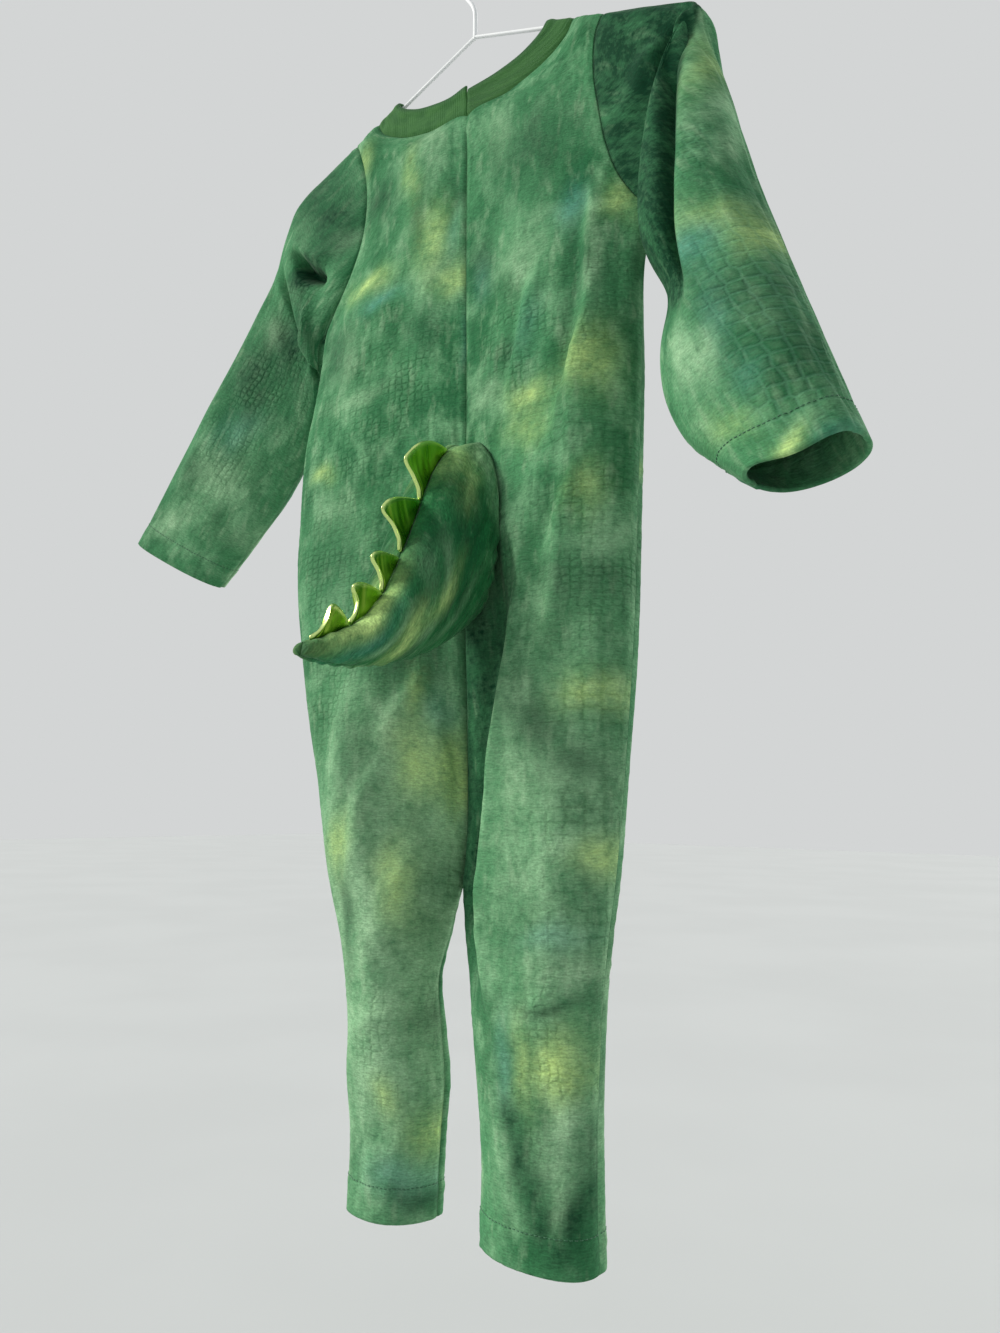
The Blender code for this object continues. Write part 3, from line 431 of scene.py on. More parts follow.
def upper_row(side, face, step):
    """A row above the underarm, from the centre seam or the neckline to the armhole."""
    rows = ARMHOLE_ROWS
    to_shoulder = min(step / (rows - HOLE_STEPS_LEFT), 1)
    if step <= NAPE_STEP:
        centre = NECK_BACK_Z if face == BACK else NECK_FRONT_Z
        z = UNDERARM_Z + (centre - UNDERARM_Z) * step / NAPE_STEP
        seam_y = column(CENTRE, "back" if face == BACK else "front", z)
        inner = np.array([column(CENTRE, "x", z), seam_y, z])
    else:
        inner = neckline(side, face, step)
    hole = ARMHOLES[side]
    marks = np.linspace(0, 1, len(hole["x"]))
    edge_x, edge_z = (smooth_curve(to_shoulder, marks, hole[name]) for name in ("x", "z"))
    outer = np.array([edge_x, 0.0, edge_z])
    opening = math.sin(math.pi * min(to_shoulder * HOLE_OPENS, 0.5)) if to_shoulder < HOLE_OPEN_AT else 1.0
    closing = math.sqrt(1 - ARMHOLE_CLOSES * to_shoulder**3)
    outer[1] = face * ARMHOLE_DEPTH * opening * closing
    if step >= rows - 1:
        outer = np.array([outer[0], 0.0, wire_top(outer[0])])
        outer = beside_wire(outer, face) if step < rows else outer
        return evenly(np.stack([inner, outer]), across_fractions())
    belly = face * (CHEST_DEPTH - SHOULDER_THINS * to_shoulder)
    crest = belly if abs(belly) > abs(inner[1]) else inner[1]
    return profile(inner, outer, 0.5, crest, 0.0, UNDERARM_ROUND * (1 - to_shoulder))


def lower_row(side, face, z):
    """A row at one height: half of the body above the crotch, half of a leg below it."""
    name = "back" if face == BACK else "front"
    if z >= CROTCH_Z - 1e-6:
        inner = np.array([column(CENTRE, "x", z), column(CENTRE, name, z), z])
    else:
        inner = np.array([column(INSEAM[side], "x", z), column(INSEAM[side], "y", z), z])
    edge = SIDES[side]
    outer = np.array([column(edge, "x", z), column(edge, "y", z), z])
    leg = float(np.clip((CROTCH_Z + LEG_STARTS - z) / LEG_FADE, 0, 1))
    flatter = float(np.clip((z - UNDERARM_Z) / SIDE_FADE + 1, 0, 1))
    side_round = 1 + (UNDERARM_ROUND - 1) * flatter
    crest = float(column(edge, name, z))
    return profile(inner, outer, float(column(edge, "across", z)), crest, leg, side_round)


def fold_height(panel, x, z, across):
    """How far the panel's folds push it out at each point, fading towards its seams."""
    height = np.zeros_like(x)
    for where, start, end, half, rise in FOLDS:
        if where != panel:
            continue
        start, end = np.array(start), np.array(end)
        along = end - start
        u = ((x - start[0]) * along[0] + (z - start[1]) * along[1]) / (along @ along)
        near = np.clip(u, 0, 1)
        away = np.hypot(x - start[0] - near * along[0], z - start[1] - near * along[1])
        height += rise * bell(away, half)
    return height * np.sin(np.pi * across) ** 0.5


def panel_grid(side, face):
    """The middle surface of one panel: rows from the hem to the shoulder, columns from the centre out."""
    name = panel_name(side, face)
    rows = [lower_row(side, face, z) for z in LEVELS]
    rows += [upper_row(side, face, step) for step in range(1, ARMHOLE_ROWS + 1)]
    grid = np.array(rows)
    across = across_fractions()[None, :].repeat(len(rows), axis=0)
    fade = np.ones(len(rows))
    fade[-2:] = 0
    push = fold_height(name, grid[..., 0], grid[..., 2], across) * fade[:, None]
    grid[..., 1] += face * push
    return grid


def panel_name(side, face):
    return ("back" if face == BACK else "front") + ("_left" if side == LEFT else "_right")


def grid_normals(grid, outward, around=False):
    """Unit normals of a grid of points, on the side that `outward` points to."""
    down = np.gradient(grid, axis=0)
    if around:
        over = np.roll(grid, -1, axis=1) - np.roll(grid, 1, axis=1)
    else:
        over = np.gradient(grid, axis=1)
    normal = unit(np.cross(over, down))
    return normal * np.sign(np.sum(normal * outward, axis=-1, keepdims=True).mean())


class Panels:
    """The four body panels, with normals that agree where two of them are sewn together."""

    def __init__(self):
        self.keys = [(side, face) for side in (LEFT, RIGHT) for face in (BACK, FRONT)]
        self.grid = {key: panel_grid(*key) for key in self.keys}
        self.normal = {key: grid_normals(self.grid[key], np.array([0, key[1], 0])) for key in self.keys}
        self.share_normals()

    def share(self, places):
        """One normal for the same point of several panels."""
        total = sum(self.normal[key][row, col] for key, row, col in places)
        for key, row, col in places:
            self.normal[key][row, col] = total / max(np.linalg.norm(total), 1e-9)

    def share_normals(self):
        top = UNDERARM_ROW + ARMHOLE_ROWS
        for row in range(top + 1):
            for face in (BACK, FRONT):
                if CROTCH_ROW < row <= UNDERARM_ROW + NAPE_STEP:
                    self.share([((LEFT, face), row, 0), ((RIGHT, face), row, 0)])
            for side in (LEFT, RIGHT):
                if row < CROTCH_ROW:
                    self.share([((side, BACK), row, 0), ((side, FRONT), row, 0)])
                if row <= UNDERARM_ROW:
                    self.share([((side, BACK), row, -1), ((side, FRONT), row, -1)])
        for side in (LEFT, RIGHT):
            for col in range(COLUMNS):
                self.share([((side, BACK), top, col), ((side, FRONT), top, col)])
        for key in self.keys:
            self.normal[key][CROTCH_ROW, 0] = (0, 0, -1)
            self.normal[key][UNDERARM_ROW, -1] = unit(np.array([key[0], 0, -1.0]))


def sleeve_rings(side, count=18):
    """The sleeve's rings after the armhole, each from the underarm over the back and down the front."""
    got = curves(SLEEVES[side], count)
    over = np.stack([got["over_x"], got["over_y"], got["over_z"]], axis=-1)
    under = np.stack([got["under_x"], got["under_y"], got["under_z"]], axis=-1)
    middle = (over + under) / 2
    axis = unit(np.gradient(middle, axis=0))
    arm = (over - under) / 2
    out = unit(np.cross(axis, arm))
    out *= np.sign(out[:, 1:2])
    turn = np.pi * np.arange(2 * ARMHOLE_ROWS) / ARMHOLE_ROWS
    points = []
    for k in range(count):
        ring = []
        for angle in turn:
            bulge = got["back"][k] if angle <= np.pi else got["front"][k]
            share = abs(math.sin(angle)) ** SLEEVE_SQUARE
            if angle <= np.pi and bulge < TROUGH_END:
                fade = float(smooth((angle - TROUGH_FADE[0]) / (TROUGH_FADE[1] - TROUGH_FADE[0])))
                bulge = bulge * (1 - fade) + TROUGH_END * fade
            lift = math.copysign(share * bulge, math.sin(angle)) if bulge >= 0 else share * bulge
            ring.append(middle[k] - arm[k] * math.cos(angle) + out[k] * lift)
        points.append(ring)
    return np.array(points)


def armhole_ring(panels, side):
    """The armhole's points, from the underarm up the back to the shoulder and down the front."""
    rows = np.arange(UNDERARM_ROW, UNDERARM_ROW + ARMHOLE_ROWS + 1)
    back = panels.grid[(side, BACK)][rows, -1]
    front = panels.grid[(side, FRONT)][rows, -1]
    return np.concatenate([back, front[-2:0:-1]])


def neck_chain():
    """The neckline's points in order, from the centre back all round to the centre back again."""
    steps = list(range(NAPE_STEP, ARMHOLE_ROWS + 1))
    chain = [((LEFT, BACK), step) for step in steps]
    chain += [((LEFT, FRONT), step) for step in steps[-2::-1]]
    chain += [((RIGHT, FRONT), step) for step in steps[1:]]
    chain += [((RIGHT, BACK), step) for step in steps[-2::-1]]
    return chain


def tail_centre(z):
    return float(column(CENTRE, "x", max(z, TAIL_FOOT)))


def tail_rings(count=14):
    got = curves(TAIL, count)
    lean = np.linspace(tail_centre(TAIL_TOP), TAIL_TIP_X, count)
    ridge = np.stack([lean, got["ridge_y"], got["ridge_z"]], axis=-1)
    belly = np.stack([lean, got["belly_y"], got["belly_z"]], axis=-1)
    return ridge, belly, got["half"]




# Cloth in the scene: a thin shell on the middle of each cut piece
SEAM_GAP = 0.0003
CLOTH = 0.0016
HEM_CLOTH = 0.0030
WALL = 0.002
ROW_STEPS = 10
HEM_STEPS = 16
EDGE_STEPS = 9
INNER_STEPS = 5
SLEEVE_STEPS = 7
RIM_ROUND = 0.35

# A sewn seam: how deep the stitches pull it in, how wide, and the puckers beside it
SEAM_DIP = 0.0010
SEAM_WIDTH = 0.0022
PUCKER = 0.00028
PUCKER_AT = 0.005
SEAM_FADE = 0.010
SIDE_SEAM = 0.35
STITCH_PITCH = 0.0034
STITCH_LENGTH = 0.0024
STITCH_RADIUS = 0.00035
SEAM_SHADE = 0.0024
HEM_GROOVE = 0.0007
HEM_GROOVE_WIDE = 0.0022
HEM_PUCKER = 0.0004
HEM_PUCKER_OVER = 0.009
HEM_TURN = 0.003

# The slow roll of the cloth and its fine crinkles, and the pull of the tail's seam on the back
PANEL_ROLL = 0.0018
PANEL_CRINKLE = 0.00025
SLEEVE_ROLL = 0.0016
TAIL_PULL = 0.0022
TAIL_PULL_OVER = 0.022
TAIL_DENT = 0.0018
TAIL_DENT_OVER = 0.006

# Creases of each piece in mm: start x z, end x z, half width on either side, height; the ends taper off
CREASES = {
    "back_right": [
        (-126, -262, -120, -400, 4, 22, 6), (-121, -350, -111, -500, 4, 24, 8),
        (-113, -460, -100, -640, 5, 24, 6), (-117, -280, -103, -500, 18, 3, -6),
        (-105, -460, -94, -620, 16, 4, -4.4), (-89, -310, -51, -445, 6, 14, 4.2),
        (-81, -310, -44, -450, 12, 4, -3.6), (-59, -505, -88, -590, 5, 8, 3),
        (-52, -530, -64, -620, 5, 7, 2.4), (-84, -857, -118, -857, 3, 10, 3),
        (-136, -560, -120, -700, 8, 12, 1.2), (-40, -600, -62, -740, 9, 14, 1.8),
        (-20, -620, -30, -700, 6, 10, 1.4), (-108, -740, -90, -880, 10, 15, 1.6),
        (-50, -900, -68, -1000, 8, 12, 1.4), (-98, -900, -106, -990, 7, 11, -1.1),
        (-34, -800, -60, -872, 6, 10, 1.3),
    ],
    "back_left": [
        (117, -276, 34, -337, 9, 13, 2), (115, -313, 52, -314, 6, 11, 1.4),
        (140, -330, 96, -372, 8, 12, 1.8), (30, -250, 40, -420, 10, 14, 1.3),
        (90, -400, 75, -560, 13, 18, 1.6), (150, -430, 140, -590, 10, 12, 1.3),
        (30, -610, 62, -700, 6, 12, 4), (58, -680, 82, -800, 7, 14, 4.6),
        (10, -640, 26, -760, 18, 6, 5), (28, -740, 60, -830, 7, 10, 3.4),
        (112, -640, 120, -720, 7, 10, -1.6), (36, -760, 52, -850, 7, 11, 1.8),
        (80, -820, 45, -872, 6, 10, 1.7), (34, -874, 82, -900, 5, 9, 1.9),
        (78, -912, 36, -938, 5, 8, 1.5), (62, -930, 58, -1000, 7, 9, 1.4),
        (30, -972, 72, -990, 5, 8, 1.2),
    ],
    "front_left": [
        (118, -290, 40, -345, 10, 14, 1.8), (60, -330, 70, -520, 12, 18, 2),
        (110, -420, 98, -640, 9, 17, 2.8), (140, -500, 124, -640, 8, 11, 1.4),
        (36, -600, 60, -780, 9, 13, 2), (84, -660, 94, -820, 10, 14, 2.8),
        (78, -850, 42, -885, 6, 9, 1.6), (60, -900, 66, -995, 7, 10, 1.3),
    ],
    "front_right": [
        (-112, -310, -98, -470, 8, 20, 2.8), (-98, -460, -80, -650, 8, 20, 3),
        (-50, -300, -46, -460, 12, 16, 1.8), (-130, -540, -122, -680, 8, 11, 1.2),
        (-34, -620, -56, -760, 9, 14, 1.9), (-90, -720, -78, -880, 10, 15, 2),
        (-58, -900, -66, -990, 7, 11, 1.3),
    ],
    "sleeve_right": [
        (-183, -170, -142, -250, 8, 10, 3.4), (-226, -235, -250, -400, 6, 7, 2.2),
        (-214, -300, -214, -400, 8, 10, 1.4), (-262, -360, -222, -440, 9, 12, 1.6),
        (-222, -400, -262, -500, 10, 12, 1.2), (-292, -440, -270, -500, 8, 10, 1),
    ],
    "sleeve_left": [
        (212, -214, 154, -264, 6, 6, -19), (214, -202, 150, -246, 4, 8, 4),
        (180, -262, 205, -350, 5, 10, 5), (240, -214, 200, -330, 6, 10, 3.6),
        (250, -250, 216, -350, 7, 10, 1.6), (290, -300, 262, -400, 10, 14, 1.8),
        (330, -350, 372, -440, 8, 12, 1.6), (300, -430, 352, -468, 7, 10, 1.3),
        (250, -340, 290, -420, 7, 10, -1.2),
    ],
}

# The dye: soft patches as kind, x, z, half sizes, all in mm, and strength. L pale, D deep, T teal,
# Y yellow; a few D and L patches are painted shade and painted highlight, marked where they stand. The
# tail's places are along it and round it.
DYES_AND_PAINTED_LIGHT = {
    "back_left": [
        ("L", 38, -170, 11, 22, 0.8), ("Y", 117, -155, 9, 12, 0.6), ("Y", 55, -196, 7, 20, 0.5),
        ("Y", 30, -262, 13, 22, 0.6), ("L", 20, -290, 16, 16, 0.5), ("Y", 6, -303, 14, 9, 0.7),
        ("Y", 100, -283, 18, 8, 1), ("L", 117, -345, 10, 22, 0.6), ("L", 100, -388, 28, 6, 0.5),
        ("D", 93, -205, 15, 14, 0.7), ("D", 48, -236, 6, 26, 0.5), ("D", 134, -338, 18, 20, 0.7),
        ("D", 12, -225, 10, 14, 0.5), ("T", 78, -307, 16, 6, 0.8), ("T", 10, -262, 5, 18, 0.6),
        ("T", -7, -360, 4, 14, 0.8), ("D", 35, -345, 14, 14, 0.5), ("Y", 139, -448, 10, 6, 0.8),
        ("D", 118, -525, 26, 24, 0.5), ("L", 122, -478, 18, 14, 0.4), ("D", 46, -612, 30, 16, 0.8),
        ("Y", 33, -640, 5, 16, 0.6), ("L", 48, -672, 11, 16, 0.9), ("Y", 15, -700, 12, 24, 1),
        ("Y", 39, -692, 9, 20, 0.7), ("T", 18, -655, 9, 12, 0.8), ("T", 16, -732, 12, 10, 0.8),
        ("Y", 89, -757, 9, 16, 0.9), ("D", 85, -688, 8, 30, 0.5), ("L", 26, -762, 12, 14, 0.5),
        ("Y", 43, -785, 8, 22, 0.7), ("L", 64, -815, 9, 32, 0.7), ("D", 82, -812, 5, 30, 0.7),
        ("L", 40, -874, 8, 8, 1), ("D", 22, -880, 8, 12, 0.5), ("L", 44, -905, 12, 12, 0.5),
        ("Y", 45, -938, 8, 9, 0.6), ("Y", 21, -962, 9, 11, 0.8), ("T", 34, -990, 17, 11, 1),
        ("D", 22, -1004, 14, 7, 0.7), ("L", 55, -780, 60, 120, 0.8), ("L", 50, -930, 44, 60, 0.6),
    ],
    "back_right": [
        ("L", -36, -200, 10, 18, 0.5), ("L", -66, -315, 22, 20, 0.5), ("Y", -129, -418, 12, 17, 1),
        ("Y", -78, -427, 14, 8, 0.8), ("L", -40, -420, 14, 11, 0.6), ("Y", -147, -292, 9, 12, 0.7),
        # The thin L strip at -128, -330 is a painted highlight beside the step fold, and the D strips at
        # -113, -345 and -108, -430 are its painted shade; the rest is dye
        ("L", -128, -330, 4, 34, 0.7), ("D", -113, -345, 7, 46, 0.45), ("D", -108, -430, 7, 40, 0.45),
        ("D", -74, -225, 33, 33, 0.6), ("D", -54, -389, 13, 10, 0.6), ("D", -24, -307, 12, 17, 0.5),
        ("T", -109, -287, 8, 15, 0.9), ("T", -24, -321, 8, 12, 0.5), ("T", -74, -372, 9, 17, 0.4),
        ("Y", -127, -513, 9, 15, 0.5), ("Y", -75, -452, 14, 10, 0.5), ("L", -141, -540, 8, 14, 0.6),
        ("D", -112, -575, 12, 16, 0.5), ("D", -137, -575, 11, 10, 0.5), ("L", -76, -645, 12, 12, 0.5),
        ("Y", -131, -652, 14, 10, 0.8), ("D", -96, -671, 12, 12, 0.5), ("D", -120, -700, 12, 8, 0.5),
        ("L", -74, -712, 8, 22, 0.5), ("Y", -132, -763, 11, 9, 0.7), ("L", -110, -755, 12, 8, 0.5),
        ("L", -110, -838, 15, 9, 1), ("T", -100, -812, 15, 7, 0.8), ("D", -102, -857, 17, 3, 0.6),
        ("Y", -104, -896, 13, 15, 1), ("L", -105, -930, 12, 13, 1), ("L", -124, -922, 7, 9, 0.6),
        ("D", -68, -930, 5, 14, 0.9), ("D", -76, -950, 6, 13, 0.9), ("D", -86, -972, 6, 13, 0.9),
        ("D", -96, -992, 6, 11, 0.9), ("D", -106, -1008, 7, 8, 0.9), ("D", -115, -988, 5, 13, 0.9),
        ("D", -120, -965, 5, 15, 0.9), ("D", -125, -943, 5, 12, 1), ("T", -67, -895, 5, 19, 0.8),
        ("L", -100, -958, 9, 16, 0.8), ("L", -105, -982, 5, 9, 0.7), ("Y", -81, -893, 5, 20, 0.6),
        ("T", -131, -909, 5, 15, 0.8), ("L", -100, -740, 45, 130, 0.5), ("L", -60, -960, 12, 50, 0.3),
    ],
    "sleeve_right": [
        ("L", -229, -271, 7, 12, 0.8), ("L", -238, -305, 5, 12, 0.7), ("Y", -216, -225, 6, 24, 0.6),
        ("Y", -266, -375, 14, 11, 0.9), ("Y", -235, -362, 14, 8, 0.5), ("T", -228, -385, 12, 12, 0.9),
        ("D", -268, -417, 30, 17, 0.7), ("D", -280, -465, 24, 20, 0.6), ("T", -243, -430, 8, 20, 0.6),
        ("T", -258, -470, 8, 10, 0.7), ("L", -230, -462, 10, 16, 0.8), ("L", -214, -450, 6, 16, 0.7),
        ("Y", -285, -519, 9, 6, 1), ("D", -262, -320, 13, 40, 0.6), ("Y", -245, -500, 12, 8, 0.4),
        ("D", -306, -450, 8, 60, 0.4), ("T", -315, -520, 12, 5, 0.5),
    ],
    "sleeve_left": [
        # The D patches at 184, -243 and 192, -235 paint the shade in the armpit hollow, and the one at 207,
        # -291 paints the shadow under the arm's fold; the rest is dye
        ("D", 150, -205, 28, 30, 0.95), ("D", 184, -243, 17, 8, 1.5), ("D", 192, -235, 12, 6, 1.5),
        ("L", 140, -226, 16, 7, 0.4), ("D", 261, -326, 37, 36, 0.75), ("D", 207, -291, 24, 30, 0.85),
        ("L", 368, -446, 30, 11, 0.7), ("L", 308, -406, 31, 21, 0.6), ("T", 288, -370, 23, 15, 0.5),
        ("L", 236, -282, 10, 14, 0.6), ("D", 180, -160, 30, 20, 0.6), ("L", 300, -465, 26, 9, 0.4),
        ("D", 345, -400, 14, 12, 0.4),
    ],
    "tail": [
        ("D", 70, 35, 30, 20, 0.5), ("D", 50, 80, 18, 22, 0.45), ("D", 96, 20, 20, 12, 0.5),
        ("Y", 148, 10, 24, 9, 1.5), ("Y", 112, 67, 12, 12, 0.9), ("Y", 76, 75, 12, 8, 0.7),
        ("L", 90, 86, 10, 6, 0.5), ("L", 60, 112, 22, 5, 0.3), ("Y", 26, 12, 14, 20, 0.5),
        ("D", 40, 62, 16, 26, 0.6), ("D", 100, 50, 12, 9, 0.6), ("L", 72, 52, 5, 16, 0.5),
        ("Y", 30, 45, 9, 10, 0.25), ("T", 150, 30, 20, 9, 0.6), ("L", 93, 40, 7, 20, 0.35),
        ("D", 200, 12, 16, 20, 0.7), ("L", 8, 44, 6, 40, 0.45), ("L", 128, 46, 14, 5, 0.5),
    ],
}
DYE_KINDS = "LDTY"

# The embossed skin in the same way: B blocks, P pebbles
SKIN_KINDS = "BP"
SKINS = {
    "back_left": [
        ("P", 60, -380, 60, 50, 0.8), ("P", 130, -470, 45, 60, 0.9), ("P", 100, -570, 40, 40, 0.8),
        ("B", 0, -785, 22, 26, 1), ("B", 100, -352, 30, 16, 0.8), ("P", 110, -640, 30, 40, 0.8),
        ("P", 40, -900, 30, 50, 0.7), ("B", 125, -500, 26, 20, 0.6),
    ],
    "back_right": [
        ("P", -140, -540, 26, 60, 1), ("P", -60, -380, 30, 40, 0.8), ("P", -145, -600, 26, 30, 1),
        ("B", -129, -659, 24, 24, 1), ("B", -120, -735, 30, 20, 1), ("B", -120, -808, 30, 16, 1),
        ("P", -118, -880, 34, 34, 1), ("B", -106, -470, 30, 16, 0.8), ("P", -70, -560, 22, 50, 0.7),
        ("P", -120, -760, 34, 40, 0.5), ("P", -130, -400, 20, 50, 0.7), ("P", -90, -960, 24, 30, 0.5),
    ],
    "sleeve_right": [
        ("B", -280, -420, 36, 56, 1), ("B", -250, -400, 24, 40, 0.9), ("P", -222, -320, 16, 60, 0.6),
        ("B", -290, -480, 36, 26, 1), ("P", -225, -450, 16, 30, 0.7),
    ],
    "sleeve_left": [
        ("P", 250, -340, 40, 40, 1), ("P", 310, -390, 34, 34, 0.8), ("P", 200, -260, 30, 30, 0.6),
        ("B", 340, -430, 26, 20, 0.6),
    ],
}


# The right leg is tucked in beside the centre seam: a valley down to the crotch and past it, whose floor is
# painted dark as shade
VALLEY_TOP = -0.520
VALLEY_END = -0.910
VALLEY_WIDE = 0.071
VALLEY_DEEP = 0.021
VALLEY_FADE = (0.09, 0.12)
VALLEY_FLOOR_AT = 0.60
VALLEY_FLOOR = 0.021
VALLEY_LIP = 0.0045
VALLEY_LIP_WIDE = 0.006
VALLEY_PAINTED_SHADE = 0.8

# The back of the right cuff hangs flatter and lower than its ring
CUFF_FLAT = 0.010
CUFF_DROP = 0.007
CUFF_FLAT_OVER = 0.060

# The right sleeve folds over sharply where the arm part hangs in front of the cap
FOLD_Z = (0.160, 0.187, 0.223, 0.249, 0.303, 0.357, 0.400, 0.460)
FOLD_X = (-0.206, -0.206, -0.208, -0.210, -0.215, -0.219, -0.224, -0.220)
FOLD_TOP = -0.166
FOLD_END = -0.440
FOLD_RISE = 0.007
FOLD_DEEP = 0.015
FOLD_LEAN = 0.005
FOLD_LEAN_WIDE = 0.007
FOLD_FADE = (0.06, 0.08)
FOLD_SHARP = 0.004
FOLD_BROAD = 0.024
TROUGH_AT = 0.013
TROUGH_HALF = 0.008
PINCH = 0.013
PINCH_Z = -0.392
PINCH_HALF = 0.034
PINCH_X = -0.220
PINCH_OVER = 0.026

# The right sleeve's cap is painted dark down to its fold: partly its deep dye, partly painted shade of the
# trough behind the fold
CAP_LOW = -0.436
CAP_FADE = 0.04


def between(line, steps, closed=False):
    """A cubic through the points along the first axis, with this many steps in each gap."""
    gaps = len(line) if closed else len(line) - 1
    steps = np.broadcast_to(steps, gaps)
    if closed:
        ahead = np.concatenate([line[-1:], line, line[:2]])
    else:
        ahead = np.concatenate([2 * line[:1] - line[1:2], line, 2 * line[-1:] - line[-2:-1]])
    length = np.linalg.norm(np.diff(ahead[..., :3], axis=0), axis=-1, keepdims=True)
    length = np.maximum(length, 1e-6)
    slope = np.diff(ahead, axis=0) / length
    tangent = (slope[:-1] * length[1:] + slope[1:] * length[:-1]) / (length[:-1] + length[1:])
    found = []
    for gap in range(gaps):
        u = (np.arange(steps[gap]) / steps[gap]).reshape(-1, *[1] * (line.ndim - 1))
        start, end, size = ahead[gap + 1], ahead[gap + 2], length[gap + 1]
        leave, reach = tangent[gap] * size, tangent[gap + 1] * size
        found.append(
            (2 * u**3 - 3 * u**2 + 1) * start
            + (u**3 - 2 * u**2 + u) * leave
            + (3 * u**2 - 2 * u**3) * end
            + (u**3 - u**2) * reach
        )
    if not closed:
        found.append(line[-1:])
    return np.concatenate(found)


def finer(points, normals, down, over, closed=False):
    """The points and normals of a grid between those that it is given."""
    both = np.concatenate([points, normals], axis=-1)
    both = between(both, down)
    both = between(both.swapaxes(0, 1), over, closed).swapaxes(0, 1)
    return both[..., :3], unit(both[..., 3:])


# About one turn, in radians, and the least and most width and height of one roll of the cloth
TURN = 6.28
ROLL_ACROSS = (0.040, 0.110)
ROLL_DOWN = (0.12, 0.40)


def waves(x, z, seed):
    """A slow uneven roll of the cloth, longer down the piece than across it."""
    made = np.random.default_rng(seed)
    total = np.zeros_like(x)
    for _ in range(7):
        wide, tall = made.uniform(*ROLL_ACROSS), made.uniform(*ROLL_DOWN)
        lean, turn, drift = made.normal(0, 0.5), made.uniform(0, TURN, 2), made.uniform(0.5, 1)
        across = (x + lean * z * 0.3) / wide * TURN + turn[0]
        total += drift * np.sin(across) * (0.55 + 0.45 * np.sin(z / tall * TURN + turn[1]))
    return total / 4


def crinkle(along, seed, shortest=0.009, longest=0.024):
    made = np.random.default_rng(seed)
    total = np.zeros_like(along)
    for _ in range(6):
        total += np.sin(along / made.uniform(shortest, longest) * TURN + made.uniform(0, TURN))
    return total / 3


def creases_at(name, x, z):
    """How far the piece's creases push it out, each tapering at its ends and wandering a little."""
    height = np.zeros_like(x)
    ordered = [(piece, row) for piece, rows in CREASES.items() for row in rows]
    for number, (piece, row) in enumerate(ordered):
        if piece != name:
            continue
        x0, z0, x1, z1, left, right, rise = (value / 1000 for value in row)
        length = math.hypot(x1 - x0, z1 - z0)
        way_x, way_z = (x1 - x0) / length, (z1 - z0) / length
        along = ((x - x0) * way_x + (z - z0) * way_z) / length
        wander = 0.35 * left * np.sin(along * 5.2 + number) + 0.2 * left * np.sin(along * 11 + 2 * number)
        off = (x - x0) * way_z - (z - z0) * way_x + wander
        width = np.where(off > 0, right, left) * (0.8 + 0.35 * along.clip(0, 1))
        taper = smooth(along / 0.3) * smooth((1 - along) / 0.35)
        height += rise * taper * bell(off, width)
    return height


def seam_relief(away, along, seed):
    """A sewn seam's dip, the small ridge beside it, and its puckers."""
    dip = -SEAM_DIP * bell(away, SEAM_WIDTH)
    beside = 0.25 * SEAM_DIP * bell(away - 2.4 * SEAM_WIDTH, SEAM_WIDTH)
    near = away / PUCKER_AT
    return dip + beside + PUCKER * near * np.exp(1 - near) * crinkle(along, seed)


# The hidden front is dyed like the back's other side, a little lower
FRONT_DYED_LIKE = {"front_left": "back_right", "front_right": "back_left"}
FRONT_DYE_SHIFT = 0.045

# How fast a patch fades from its middle
PATCH_EDGE = 0.62


def patches(rows, kinds, x, z, mirror=1.0, shift=0.0):
    """The strength of each kind of patch at each point, their outlines bent a little."""
    x, z = x * mirror, z + shift
    bent_x = x + 0.0025 * np.sin(z / 0.019 + 1.3) + 0.0015 * np.sin(z / 0.0076 + x / 0.011)
    bent_z = z + 0.0035 * np.sin(x / 0.015 + 0.4) + 0.0025 * np.sin(x / 0.0067 + z / 0.013)
    layers = np.zeros((*x.shape, 4))
    for kind, *place, strength in rows:
        at_x, at_z, half_x, half_z = (value / 1000 for value in place)
        away = ((bent_x - at_x) / half_x) ** 2 + ((bent_z - at_z) / half_z) ** 2
        layer = layers[..., kinds.index(kind)]
        layer += (1 - layer) * strength * np.exp(-PATCH_EDGE * away)
    return layers


def border(rows, cols):
    """The grid's rim in order, as rows and columns, with the inner neighbour of each point."""
    r = [0] * cols + list(range(1, rows)) + [rows - 1] * (cols - 1) + list(range(rows - 2, 0, -1))
    c = list(range(cols)) + [cols - 1] * (rows - 1) + list(range(cols - 2, -1, -1)) + [0] * (rows - 2)
    r, c = np.array(r), np.array(c)
    return r, c, r.clip(1, rows - 2), c.clip(1, cols - 2)


